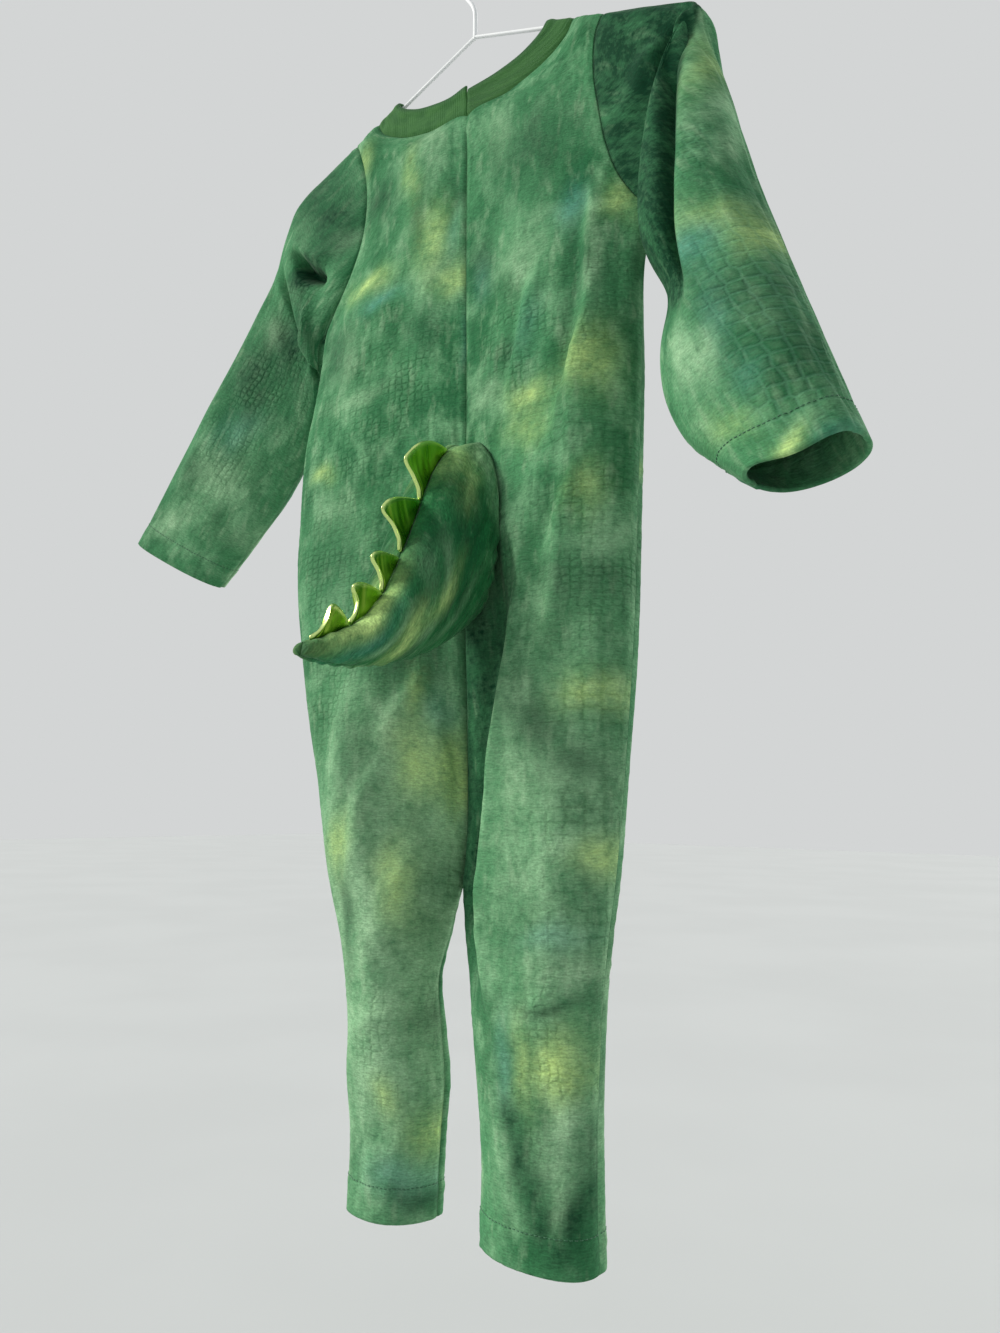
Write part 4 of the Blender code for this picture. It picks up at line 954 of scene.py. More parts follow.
def shell_part(middle, normal, thickness, uv, dye, skin):
    """A thin closed sheet with a rounded rim, as points, quads and what each point carries."""
    rows, cols = middle.shape[:2]
    half = 0.5 * np.broadcast_to(thickness, (rows, cols))[..., None]
    number = np.arange(rows * cols).reshape(rows, cols)
    outer = np.stack([number[:-1, :-1], number[:-1, 1:], number[1:, 1:], number[1:, :-1]], axis=-1)
    outer = outer.reshape(-1, 4)
    count = rows * cols
    inner = outer[:, ::-1] + count
    r, c, near_r, near_c = border(rows, cols)
    away = middle[r, c] - middle[near_r, near_c]
    away -= np.sum(away * normal[r, c], axis=-1, keepdims=True) * normal[r, c]
    rim = middle[r, c] + unit(away) * half[r, c] * 2 * RIM_ROUND
    here = number[r, c]
    after = np.roll(here, -1)
    edge = 2 * count + np.arange(len(here))
    edge_after = np.roll(edge, -1)
    rims = np.concatenate(
        [
            np.stack([after, here, edge, edge_after], axis=-1),
            np.stack([edge_after, edge, here + count, after + count], axis=-1),
        ]
    )
    both = [middle + normal * half, middle - normal * half]
    points = np.concatenate([face.reshape(-1, 3) for face in both] + [rim])
    faces = np.concatenate([outer, inner, rims])
    corner = middle[:-1, :-1]
    across, down = middle[:-1, 1:] - corner, middle[1:, :-1] - corner
    if np.sum(np.cross(across, down) * normal[:-1, :-1]) < 0:
        faces = faces[:, ::-1]

    def carried(values):
        flat = values.reshape(-1, values.shape[-1])
        return np.concatenate([flat, flat, values[r, c]])

    part = {"points": points, "faces": faces, "slot": 0}
    part.update(uv=carried(uv), dye=carried(dye), skin=carried(skin))
    return part


def bare_part(points, faces, uv, slot):
    """A part that carries no dye and no pressed skin."""
    points = points.reshape(-1, 3)
    empty = np.zeros((len(points), 4))
    return {"points": points, "faces": faces, "uv": uv, "dye": empty, "skin": empty, "slot": slot}


def dashes_part(line, normal, slot=1, pitch=STITCH_PITCH, length=STITCH_LENGTH, radius=STITCH_RADIUS):
    """A row of stitches along a line on the cloth, each a short thread whose ends go in."""
    along = run_of(line, 0)
    starts = np.arange(pitch / 2, along[-1] - length, pitch)
    shares = np.array([0, 0.2, 0.5, 0.8, 1.0])
    height = np.array([-0.6, 0.5, 0.8, 0.5, -0.6]) * radius
    at = starts[:, None] + shares * length
    centre, up = at_run(line, along, at), unit(at_run(normal, along, at))
    way = unit(centre[:, -1:] - centre[:, :1]) + np.zeros_like(centre)
    side = unit(np.cross(way, up))
    centre = centre + up * height[:, None]
    turn = np.arange(6) / 6 * 2 * np.pi
    points = centre[:, :, None] + radius * (
        side[:, :, None] * np.cos(turn)[:, None] + up[:, :, None] * np.sin(turn)[:, None]
    )
    count = len(starts)
    number = np.arange(count * 30).reshape(count, 5, 6)
    over = np.roll(number, -1, axis=2)
    faces = np.stack([number[:, :-1], over[:, :-1], over[:, 1:], number[:, 1:]], axis=-1).reshape(-1, 4)
    return bare_part(points, faces, np.zeros((count * 30, 2)), slot)


def tube_part(path, radius, closed=False, sides=20, slot=0):
    """A round wire along a path that lies in the plane of the hanger, its ends rounded."""
    path = np.asarray(path, float)
    if closed:
        way = unit(np.roll(path, -1, axis=0) - np.roll(path, 1, axis=0))
        width = np.full(len(path), radius)
    else:
        way = unit(np.gradient(path, axis=0))
        caps = np.array([0.999, 0.86, 0.5, 0.0])
        first = path[0] - way[0] * radius * caps[:, None]
        last = path[-1] + way[-1] * radius * caps[::-1, None]
        path = np.concatenate([first, path, last])
        way = np.concatenate([np.repeat(way[:1], 4, axis=0), way, np.repeat(way[-1:], 4, axis=0)])
        round_off = radius * np.sqrt(1 - caps**2).clip(0.02)
        width = np.concatenate([round_off, np.full(len(path) - 8, radius), round_off[::-1]])
    flat = np.broadcast_to(np.array([0.0, 1.0, 0.0]), path.shape)
    side = unit(np.cross(way, flat))
    turn = np.arange(sides) / sides * 2 * np.pi
    ring = side[:, None] * np.cos(turn)[:, None] + flat[:, None] * np.sin(turn)[:, None]
    points = path[:, None] + ring * width[:, None, None]
    rows = len(path)
    number = np.arange(rows * sides).reshape(rows, sides)
    over = np.roll(number, -1, axis=1)
    if closed:
        ahead, ahead_over = np.roll(number, -1, axis=0), np.roll(over, -1, axis=0)
    else:
        ahead, ahead_over = number[1:], over[1:]
    here, here_over = number[: len(ahead)], over[: len(ahead)]
    faces = np.stack([here, ahead, ahead_over, here_over], axis=-1).reshape(-1, 4)
    along = run_of(path, 0)[:, None]
    uv = np.stack(np.broadcast_arrays(turn[None] * radius, along), axis=-1).reshape(-1, 2)
    return bare_part(points, faces, uv, slot)


def piece_of(name, parts, materials):
    """One object from its parts, with its map in metres and its painted layers."""
    points = np.concatenate([part["points"] for part in parts])
    starts = np.cumsum([0] + [len(part["points"]) for part in parts[:-1]])
    faces = np.concatenate([part["faces"] + start for part, start in zip(parts, starts)])
    mesh = bpy.data.meshes.new(name)
    mesh.vertices.add(len(points))
    mesh.vertices.foreach_set("co", points.ravel())
    mesh.loops.add(faces.size)
    mesh.loops.foreach_set("vertex_index", faces.ravel().astype(np.int32))
    mesh.polygons.add(len(faces))
    mesh.polygons.foreach_set("loop_start", np.arange(0, faces.size, 4, dtype=np.int32))
    mesh.polygons.foreach_set("loop_total", np.full(len(faces), 4, dtype=np.int32))
    slots = np.concatenate([np.full(len(part["faces"]), part["slot"]) for part in parts])
    mesh.update(calc_edges=True)
    mesh.polygons.foreach_set("material_index", slots.astype(np.int32))
    uv = np.concatenate([part["uv"] for part in parts])
    mesh.uv_layers.new(name="metres").data.foreach_set("uv", uv[faces.ravel()].ravel())
    for layer in ("dye", "skin"):
        values = np.concatenate([part[layer] for part in parts])
        mesh.color_attributes.new(name=layer, type="FLOAT_COLOR", domain="POINT").data.foreach_set(
            "color", values.ravel()
        )
    for material in materials:
        mesh.materials.append(material)
    mesh.shade_smooth()
    piece = bpy.data.objects.new(name, mesh)
    bpy.context.scene.collection.objects.link(piece)
    return piece


def own(piece, slot, *nodes):
    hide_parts(*nodes)
    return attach(piece, "root")


def pull_in(points, normal, row, col, towards):
    """Takes half the seam gap off one edge of a grid."""
    way = towards - points[row, col]
    way -= np.sum(way * normal[row, col], axis=-1, keepdims=True) * normal[row, col]
    points[row, col] += SEAM_GAP / 2 * unit(way)


def hem_wall(from_hem):
    """The cloth is double where the hem is turned up, and single above its stitches."""
    return HEM_CLOTH + (CLOTH - HEM_CLOTH) * smooth((from_hem - HEM_DEPTH) / HEM_TURN)


def hem_relief(from_hem, across, free, seed):
    """The groove under the hem's stitches, and the puckers along it."""
    away = from_hem - HEM_DEPTH
    puckers = HEM_PUCKER * bell(away, HEM_PUCKER_OVER) * free * crinkle(across, seed, 0.008, 0.018)
    return puckers - HEM_GROOVE * bell(away, HEM_GROOVE_WIDE)


def hem_stitches(middle, normal, thickness, from_hem):
    """The row of stitches that holds the hem; the rows of the grids go up from it."""
    outer = middle + normal * thickness[..., None] / 2
    return dashes_part(row_at(outer, from_hem, HEM_DEPTH), row_at(normal, from_hem, HEM_DEPTH))


def row_at(points, from_hem, height):
    """The line of a grid at one height above its hem."""
    row = np.argmax(from_hem >= height, axis=0)
    cols = np.arange(points.shape[1])
    low, high = from_hem[row - 1, cols], from_hem[row, cols]
    share = ((height - low) / np.maximum(high - low, 1e-9))[:, None]
    return points[row - 1, cols] * (1 - share) + points[row, cols] * share


def near_tail(x, z):
    """How far a point of the back is outside the tail's root, and the way round it."""
    mid_z, half_z = (TAIL_TOP + TAIL_FOOT) / 2, (TAIL_TOP - TAIL_FOOT) / 2
    from_x, from_z = x - tail_centre(mid_z), z - mid_z
    off_x, off_z = from_x / TAIL["half"][0], from_z / half_z
    size = np.hypot(off_x, off_z)
    outside = (size - 1) * np.hypot(from_x, from_z) / np.maximum(size, 1e-6)
    return outside, np.arctan2(off_z, off_x)


def panel_cloth(panels, key, seed, skins):
    """One body panel: the fine grid with its relief, and the shell made from it."""
    side, face = key
    name = panel_name(*key)
    down = [HEM_STEPS, HEM_STEPS] + [ROW_STEPS] * (len(panels.grid[key]) - 3)
    over = [EDGE_STEPS] + [INNER_STEPS] * (COLUMNS - 3) + [EDGE_STEPS]
    middle, normal = finer(panels.grid[key], panels.normal[key], down, over)
    across, from_hem = run_of(middle, 1), run_of(middle, 0)
    x, z = middle[..., 0], middle[..., 2]
    edges = np.minimum(across, across[:, -1:] - across)
    sewn = np.minimum(edges, from_hem[-1:] - from_hem)
    free = smooth(sewn / SEAM_FADE)
    soft = np.where(across[:, -1:] - across < np.minimum(across, 0.02), SIDE_SEAM, 1.0)
    relief = soft * seam_relief(sewn, np.where(sewn < edges, x, z), 11 + (face > 0))
    relief += free * (creases_at(name, x, z) + PANEL_ROLL * waves(x, z, seed))
    relief += free * PANEL_CRINKLE * crinkle(x * 1.7 + z * 0.6, seed + 1) * crinkle(z - x * 0.5, seed + 2)
    relief += hem_relief(from_hem, across + side, free, seed + 3)
    if face == BACK:
        out, turn = near_tail(x, z)
        out = np.maximum(out, 0)
        pull = TAIL_PULL * np.exp(-out / TAIL_PULL_OVER)
        relief += free * pull * crinkle(turn * 0.03, seed + 4, 0.008, 0.03)
        relief -= free * TAIL_DENT * bell(out, TAIL_DENT_OVER)
    hollow = smooth((VALLEY_TOP - z) / VALLEY_FADE[0]) * smooth((z - VALLEY_END) / VALLEY_FADE[1])
    hollow = hollow * (name == "back_right")
    relief += VALLEY_LIP * hollow * bell(across - VALLEY_WIDE, VALLEY_LIP_WIDE)
    middle = middle + normal * relief[..., None]
    push = hollow * VALLEY_DEEP * bell(across - VALLEY_FLOOR_AT * VALLEY_WIDE, VALLEY_FLOOR)
    middle = middle - [0, 1, 0] * push[..., None]
    cols, rows = np.arange(middle.shape[1]), np.arange(middle.shape[0])
    pull_in(middle, normal, rows, 0, middle[:, 1])
    pull_in(middle, normal, rows, -1, middle[:, -2])
    pull_in(middle, normal, -1, cols, middle[-2])
    mid = middle.shape[1] // 2
    over_it = side * (across - across[:, mid : mid + 1]) + x[:, mid : mid + 1]
    uv = np.stack([over_it + 0.37 * seed, from_hem], axis=-1)
    source = FRONT_DYED_LIKE.get(name, name)
    mirror, shift = (1, 0) if face == BACK else (-1, FRONT_DYE_SHIFT)
    dye = patches(DYES_AND_PAINTED_LIGHT[source], DYE_KINDS, x, z, mirror, shift)
    # Painted shade on the valley's floor beside the left leg's edge, laid into the deep dye layer
    in_shade = smooth((VALLEY_WIDE - 0.004 - across) / 0.006)
    dye[..., 1] = np.maximum(dye[..., 1], VALLEY_PAINTED_SHADE * hollow * in_shade)
    skin = patches(SKINS[source], SKIN_KINDS, x, z, mirror, shift)
    skin[..., 3] = soft * bell(sewn, SEAM_SHADE)
    thickness = hem_wall(from_hem)
    parts = [shell_part(middle, normal, thickness, uv, dye, skin)]
    parts.append(hem_stitches(middle, normal, thickness, from_hem))
    piece = piece_of(name + "_cloth", parts, skins)
    own(piece, "cloth", name)
    return piece, middle


def armhole_line(edges, side):
    """The fine line of the armhole, as the sleeve's ring goes round it, from the two panels' edges."""
    back, front = (edges[(side, face)] for face in (BACK, FRONT))
    return np.concatenate([back, front[-2:0:-1]])


def share_armhole(panels, side, normal):
    """The same normals on both sides of the armhole seam."""
    rows = np.arange(UNDERARM_ROW, UNDERARM_ROW + ARMHOLE_ROWS + 1)
    places = [((side, BACK), row) for row in rows] + [((side, FRONT), row) for row in rows[-2:0:-1]]
    for k, (key, row) in enumerate(places):
        shared = panels.normal[key][row, -1]
        if row not in (rows[0], rows[-1]):
            shared = unit(shared + normal[0, k])
            panels.normal[key][row, -1] = shared
        normal[0, k] = shared


def sleeve_grid(panels, side):
    grid = np.concatenate([armhole_ring(panels, side)[None], sleeve_rings(side)])
    centre = grid.mean(axis=1, keepdims=True)
    normal = grid_normals(grid, unit(grid - centre), around=True)
    share_armhole(panels, side, normal)
    return grid, normal


def sleeve_cloth(side, grid, normal, edges, seed, skins):
    """One sleeve: its rings refined, joined to the armhole's fine line, open along its underarm seam."""
    name = "sleeve_left" if side == LEFT else "sleeve_right"
    middle, normal = finer(grid, normal, SLEEVE_STEPS, ROW_STEPS, True)
    ring = armhole_line(edges, side)
    fade = 1 - smooth(np.arange(len(middle)) / (1.5 * SLEEVE_STEPS))
    middle = middle + (ring - middle[0]) * fade[:, None, None]
    middle = np.concatenate([middle, middle[:, :1]], axis=1)
    normal = np.concatenate([normal, normal[:, :1]], axis=1)
    across, down = run_of(middle, 1), run_of(middle, 0)
    from_hem = down[-1:] - down
    x, z = middle[..., 0], middle[..., 2]
    edge = np.minimum(across, across[:, -1:] - across)
    sewn = np.minimum(edge, down)
    free = smooth(sewn / SEAM_FADE)
    count = middle.shape[1]
    turn = np.arange(count) / (count - 1) * 2 * np.pi
    on_back = smooth(0.5 + 2.2 * np.sin(turn))[None] + np.zeros_like(x)
    relief = seam_relief(sewn, np.where(down < edge, across, down), seed + 5)
    relief += free * creases_at(name, x, z) * on_back
    relief += free * creases_at(name, x + side * 0.012, z + 0.03) * (1 - on_back)
    relief += free * SLEEVE_ROLL * waves(x + (1 - on_back) * 0.2, z, seed)
    relief += hem_relief(from_hem, across, free, seed + 3)
    if side == RIGHT:
        down_it = smooth((FOLD_TOP - z) / FOLD_FADE[0]) * smooth((z - FOLD_END) / FOLD_FADE[1]) * on_back
        off = x - np.interp(-z, FOLD_Z, FOLD_X)
        fold = np.where(off > 0, FOLD_SHARP, FOLD_BROAD)
        relief += down_it * FOLD_RISE * bell(off, fold)
        relief -= down_it * FOLD_DEEP * bell(off - TROUGH_AT, TROUGH_HALF)
        middle = middle + [1, 0, 0] * (down_it * FOLD_LEAN * bell(off, FOLD_LEAN_WIDE))[..., None]
        relief -= PINCH * smooth((x - PINCH_X) / PINCH_OVER) * bell(z - PINCH_Z, PINCH_HALF)
        near_cuff = bell(from_hem, CUFF_FLAT_OVER) * np.sin(turn).clip(0) ** 1.5
        relief -= CUFF_FLAT * near_cuff
        way = unit(middle[-1] - middle[-1 - 2 * SLEEVE_STEPS])
        middle = middle + way * (CUFF_DROP * near_cuff)[..., None]
    middle = middle + normal * relief[..., None]
    rows, cols = np.arange(middle.shape[0]), np.arange(count)
    pull_in(middle, normal, rows, 0, middle[:, 1])
    pull_in(middle, normal, rows, -1, middle[:, -2])
    pull_in(middle, normal, 0, cols, middle[1])
    uv = np.stack([across - across[:, count // 4, None] + 0.37 * seed, from_hem], axis=-1)
    mix = on_back[..., None]
    dye = patches(DYES_AND_PAINTED_LIGHT[name], DYE_KINDS, x, z) * mix
    dye += patches(DYES_AND_PAINTED_LIGHT[name], DYE_KINDS, x + side * 0.02, z, 1, 0.06) * (1 - mix)
    # Painted dark on the cap beyond the fold: the cap's deep dye and painted shade of the trough together
    if side == RIGHT:
        shade = smooth((off + 0.001) / 0.004) * smooth((z - CAP_LOW) / CAP_FADE)
        dye[..., 1] = np.maximum(dye[..., 1], shade)
    skin = patches(SKINS[name], SKIN_KINDS, x, z)
    skin[..., 2] = 1.0 if side == RIGHT else 0.0
    skin[..., 3] = bell(sewn, SEAM_SHADE)
    thickness = hem_wall(from_hem)
    parts = [shell_part(middle, normal, thickness, uv, dye, skin)]
    up = slice(None, None, -1)
    parts.append(hem_stitches(middle[up], normal[up], thickness[up], from_hem[up]))
    piece = piece_of(name + "_cloth", parts, skins)
    own(piece, "cloth", name)
    return piece


# The neckband: how fine it is, its rolled free edge, and the corner that stands up at the opening
BAND_ROWS = 8
BAND_STEPS = 10
BAND_ROLL = 0.0007
BAND_NUB = 0.004
BAND_NUB_LONG = 0.012
BAND_MIDDLE_Z = -0.17
BAND_ROLL_AT = 0.0035
BAND_ROLL_WIDE = 0.003
BAND_PUCKER = 0.0003
BAND_PUCKER_AT = 0.006
BAND_THICKER = 0.0008
BAND_THICK_OVER = 0.006


def neckband_grid(panels):
    """The band's points from the neckline to its free edge, and the normals that it shares below."""
    chain = neck_chain()
    low = np.array([panels.grid[key][UNDERARM_ROW + step, 0] for key, step in chain])
    high = np.array(
        [neckline(side, face, step, BAND_HALF, BAND_BACK_Z, BAND_FRONT_Z) for (side, face), step in chain]
    )
    rows = np.linspace(0, 1, 4)[:, None, None]
    grid = low[None] * (1 - rows) + high[None] * rows
    centre = np.array([CENTRE["x"][0], 0, BAND_MIDDLE_Z])
    normal = grid_normals(grid, unit(grid - centre))
    for k, (key, step) in enumerate(chain):
        row = UNDERARM_ROW + step
        shared = panels.normal[key][row, 0]
        if NAPE_STEP < step < ARMHOLE_ROWS:
            shared = unit(shared + normal[0, k])
            panels.normal[key][row, 0] = shared
        normal[0, k] = unit(shared)
        if step == ARMHOLE_ROWS:
            normal[:, k] = panels.normal[key][-1, 0]
    for k in (0, -1):
        normal[1:, k] = unit(normal[1:, k] * np.array([0.1, 1, 1]))
    return grid, normal


def neckband_cloth(grid, normal, material, thread):
    middle, normal = finer(grid, normal, BAND_ROWS, BAND_STEPS)
    up, along = run_of(middle, 0), run_of(middle, 1)
    height = up[-1:] - up
    roll = BAND_ROLL * bell(height - BAND_ROLL_AT, BAND_ROLL_WIDE)
    relief = roll - SEAM_DIP * bell(up, SEAM_WIDTH)
    puckers = crinkle(along, 71, 0.008, 0.02) * bell(up - BAND_PUCKER_AT, BAND_PUCKER_AT)
    relief += BAND_PUCKER * puckers
    middle = middle + normal * relief[..., None]
    pull_in(middle, normal, 0, np.arange(middle.shape[1]), middle[1])
    spread = SEAM_GAP / 2 + (BAND_NOTCH - SEAM_GAP / 2) * (up / up[-1:]) ** 2
    for end in (0, -1):
        if middle[-1, end, 0] > middle[-1, -1 - end, 0]:
            nub = bell(along - along[:, end][:, None], BAND_NUB_LONG)
            middle[..., 2] += BAND_NUB * nub * (up / up[-1:]) ** 2
    middle[:, 0, 0] += spread[:, 0]
    middle[:, -1, 0] -= spread[:, -1]
    uv = np.stack([along, up], axis=-1)
    empty = np.zeros((*along.shape, 4))
    # Painted shade along the band's free edge, under its roll, in the skin layer's alpha
    empty[..., 3] = bell(height, BAND_ROLL_AT)
    thickness = CLOTH + BAND_THICKER * bell(height, BAND_THICK_OVER)
    parts = [shell_part(middle, normal, thickness, uv, empty, empty)]
    piece = piece_of("neckband_knit", parts, [material, thread])
    return own(piece, "band", "neckband")


# The zip: its tape's wall, how far above the tail it ends, and its closed coil
TAPE = 0.0007
TAPE_ABOVE_TAIL = 0.004
COIL_BEHIND = 0.0011
COIL = {"pitch": 0.0016, "length": 0.0013, "radius": 0.0009}


def zip_tape(panels, material):
    """The tape behind the centre-back seam, with the closed coil down its middle."""
    first = int(np.argmin(abs(LEVELS - (TAIL_TOP + TAPE_ABOVE_TAIL))))
    rows = np.arange(first, UNDERARM_ROW + NAPE_STEP)
    left, right = (LEFT, BACK), (RIGHT, BACK)
    sides = [(left, 1), (left, 0), (right, 1)]
    grid = np.stack([panels.grid[key][rows, col] for key, col in sides], axis=1)
    normal = np.stack([panels.normal[key][rows, col] for key, col in sides], axis=1)
    grid = grid - normal * (CLOTH / 2 + SEAM_DIP + TAPE)
    middle, normal = finer(grid, normal, 14, 8)
    uv = np.stack([run_of(middle, 1), run_of(middle, 0)], axis=-1)
    empty = np.zeros((*uv.shape[:2], 4))
    tape = piece_of("zip_tape", [shell_part(middle, normal, TAPE, uv, empty, empty)], [material])
    behind = -normal[:, middle.shape[1] // 2]
    line = middle[:, middle.shape[1] // 2] + behind * COIL_BEHIND
    coil = piece_of("zip_coil", [dashes_part(line, behind, 0, **COIL)], [material])
    return own(tape, "zip", "zip"), own(coil, "zip")


def back_surface(panels, x, z):
    """How far back the outside of the back panels is behind a point of the back."""
    found = -1.0
    for key in ((LEFT, BACK), (RIGHT, BACK)):
        outer = panels.grid[key] + panels.normal[key] * WALL / 2
        a, b, c, d = outer[:-1, :-1], outer[:-1, 1:], outer[1:, 1:], outer[1:, :-1]
        for corner in ((a, b, c), (a, c, d)):
            p, q, r = (part.reshape(-1, 3) for part in corner)
            area = (q[:, 0] - p[:, 0]) * (r[:, 2] - p[:, 2]) - (r[:, 0] - p[:, 0]) * (q[:, 2] - p[:, 2])
            area = np.where(abs(area) < 1e-12, 1e-12, area)
            u = ((x - p[:, 0]) * (r[:, 2] - p[:, 2]) - (r[:, 0] - p[:, 0]) * (z - p[:, 2])) / area
            v = ((q[:, 0] - p[:, 0]) * (z - p[:, 2]) - (x - p[:, 0]) * (q[:, 2] - p[:, 2])) / area
            inside = (u >= -1e-6) & (v >= -1e-6) & (u + v <= 1 + 1e-6)
            if inside.any():
                y = (p[:, 1] + u * (q[:, 1] - p[:, 1]) + v * (r[:, 1] - p[:, 1]))[inside]
                found = max(found, float(y.max()))
    return found


# The stuffed tail: how fine it is, its seams and puckers, and where its relief fades out
TAIL_ROWS = 8
TAIL_ARC = 7
TAIL_ROOT_GAP = 0.0006
TAIL_SEAM_DIP = 0.0016
TAIL_SEAM_WIDE = 0.003
TAIL_ROOT_DIP = 0.0022
TAIL_ROOT_WIDE = 0.004
TAIL_PUCKER = 0.0009
TAIL_ROOT_PUCKER = 0.0012
TAIL_ROLL = 0.0011
TAIL_FADE = 0.012
TAIL_TIP_FADE = 0.01
TAIL_ROOT_DYE = 0.6

# The tail's creases in mm: along it and round it, the same at the end, half width, height
TAIL_CREASES = [
    (195, 10, 190, 34, 3.5, -2), (150, 60, 162, 84, 4, -1.6), (4, 20, 50, 46, 6, -1.8),
    (6, 70, 52, 86, 6, -2), (70, 12, 92, 40, 6, -1.2), (118, 74, 128, 50, 5, -1.4),
    (36, 110, 75, 100, 6, -1.6),
]


def tail_plush(panels, side, seed, materials):
    """One stuffed side of the tail, full in the middle and pulled in at its seams."""
    ridge, belly, half = tail_rings()
    centre, arm = (ridge + belly) / 2, (ridge - belly) / 2
    turn = np.linspace(0, np.pi, TAIL_SIDES + 1)
    out = np.array([side, 0.0, 0.0])
    rings = []
    for k in range(len(half)):
        rings.append(
            [
                centre[k]
                + arm[k] * math.cos(t)
                + out * (half[k] * math.sin(t) ** TAIL_SQUARE + SEAM_GAP / 2)
                for t in turn
            ]
        )
    rings = np.array(rings)
    for number, ring in enumerate(rings):
        for point in ring:
            behind = back_surface(panels, point[0], point[2]) + TAIL_ROOT_GAP
            point[1] = behind if number == 0 else max(point[1], behind)
    normal = grid_normals(rings, unit(rings - centre[:, None]))
    middle, normal = finer(rings, normal, TAIL_ROWS, TAIL_ARC)
    along, round_it = run_of(middle, 0), run_of(middle, 1)
    along = along[:, TAIL_ARC * TAIL_SIDES // 2][:, None] + np.zeros_like(round_it)
    edge = np.minimum(round_it, round_it[:, -1:] - round_it)
    sewn = np.minimum(edge, along)
    relief = -TAIL_SEAM_DIP * bell(edge, TAIL_SEAM_WIDE) - TAIL_ROOT_DIP * bell(along, TAIL_ROOT_WIDE)
    relief += TAIL_PUCKER * bell(edge - 0.007, 0.005) * crinkle(along, seed, 0.010, 0.022)
    root = TAIL_ROOT_PUCKER * bell(along - 0.010, 0.008)
    relief += root * crinkle(round_it, seed + 1, 0.010, 0.026)
    relief += smooth(sewn / TAIL_FADE) * TAIL_ROLL * waves(round_it * 1.6, along * 1.5, seed + 2)
    for row in TAIL_CREASES:
        a0, r0, a1, r1, width, rise = (value / 1000 for value in row)
        length = math.hypot(a1 - a0, r1 - r0)
        share = ((along - a0) * (a1 - a0) + (round_it - r0) * (r1 - r0)) / length**2
        off = ((along - a0) * (r1 - r0) - (round_it - r0) * (a1 - a0)) / length
        off = off + 0.3 * width * np.sin(share * 5)
        relief += rise * smooth(share / 0.3) * smooth((1 - share) / 0.3) * bell(off, width)
    tip = smooth(along[::-1] / TAIL_TIP_FADE)
    outer = middle + normal * (relief * tip)[..., None]
    outer[0, :, 1] = np.minimum(outer[0, :, 1], middle[0, :, 1] - 0.001)
    flat = slice(0, None, TAIL_ARC * TAIL_SIDES)
    outer[:, flat, 0] = middle[:, flat, 0]
    rows, cols = outer.shape[:2]
    number = np.arange(rows * cols).reshape(rows, cols)
    over = np.roll(number, -1, axis=1)
    faces = np.stack([number[:-1], over[:-1], over[1:], number[1:]], axis=-1).reshape(-1, 4)
    points = outer.reshape(-1, 3)
    hubs = np.array([outer[0].mean(axis=0), outer[-1].mean(axis=0)])
    for hub, row in enumerate((0, rows - 1)):
        ends = np.stack([number[row], over[row], np.full(cols, rows * cols + hub)], axis=-1)
        ends = ends[:, ::-1] if row == 0 else ends
        faces = np.concatenate([faces, np.concatenate([ends, ends[:, -1:]], axis=-1)])
    if side == LEFT:
        faces = faces[:, ::-1]
    uv = np.stack([round_it, along], axis=-1)
    dye = patches(DYES_AND_PAINTED_LIGHT["tail"], DYE_KINDS, along, round_it)
    dye[..., 0] = np.maximum(dye[..., 0], TAIL_ROOT_DYE * bell(along - 0.003, 0.003))
    skin = np.zeros_like(dye)
    skin[..., 3] = bell(sewn, SEAM_SHADE)

    def carried(values):
        flat_values = values.reshape(-1, values.shape[-1])
        return np.concatenate([flat_values, flat_values[:1], flat_values[-1:]])

    part = {"points": np.concatenate([points, hubs]), "faces": faces, "slot": 0}
    part.update(uv=carried(uv), dye=carried(dye), skin=carried(skin))
    node = "tail_left" if side == LEFT else "tail_right"
    piece = piece_of(node + "_plush", [part], materials)
    return own(piece, "cloth", node)


# The foil: its wall, how far it puffs out, its rolled edge, its crinkles, how far it bends over, and how
# far in from its free edge and its first end a highlight is painted
FOIL = 0.0014
FOIL_PUFF = 0.0030
FOIL_ROLL = 0.0012
FOIL_CRINKLE = 0.0003
FOIL_BEND = 0.0030
FOIL_PAINTED_HIGHLIGHT = (0.005, 0.006)


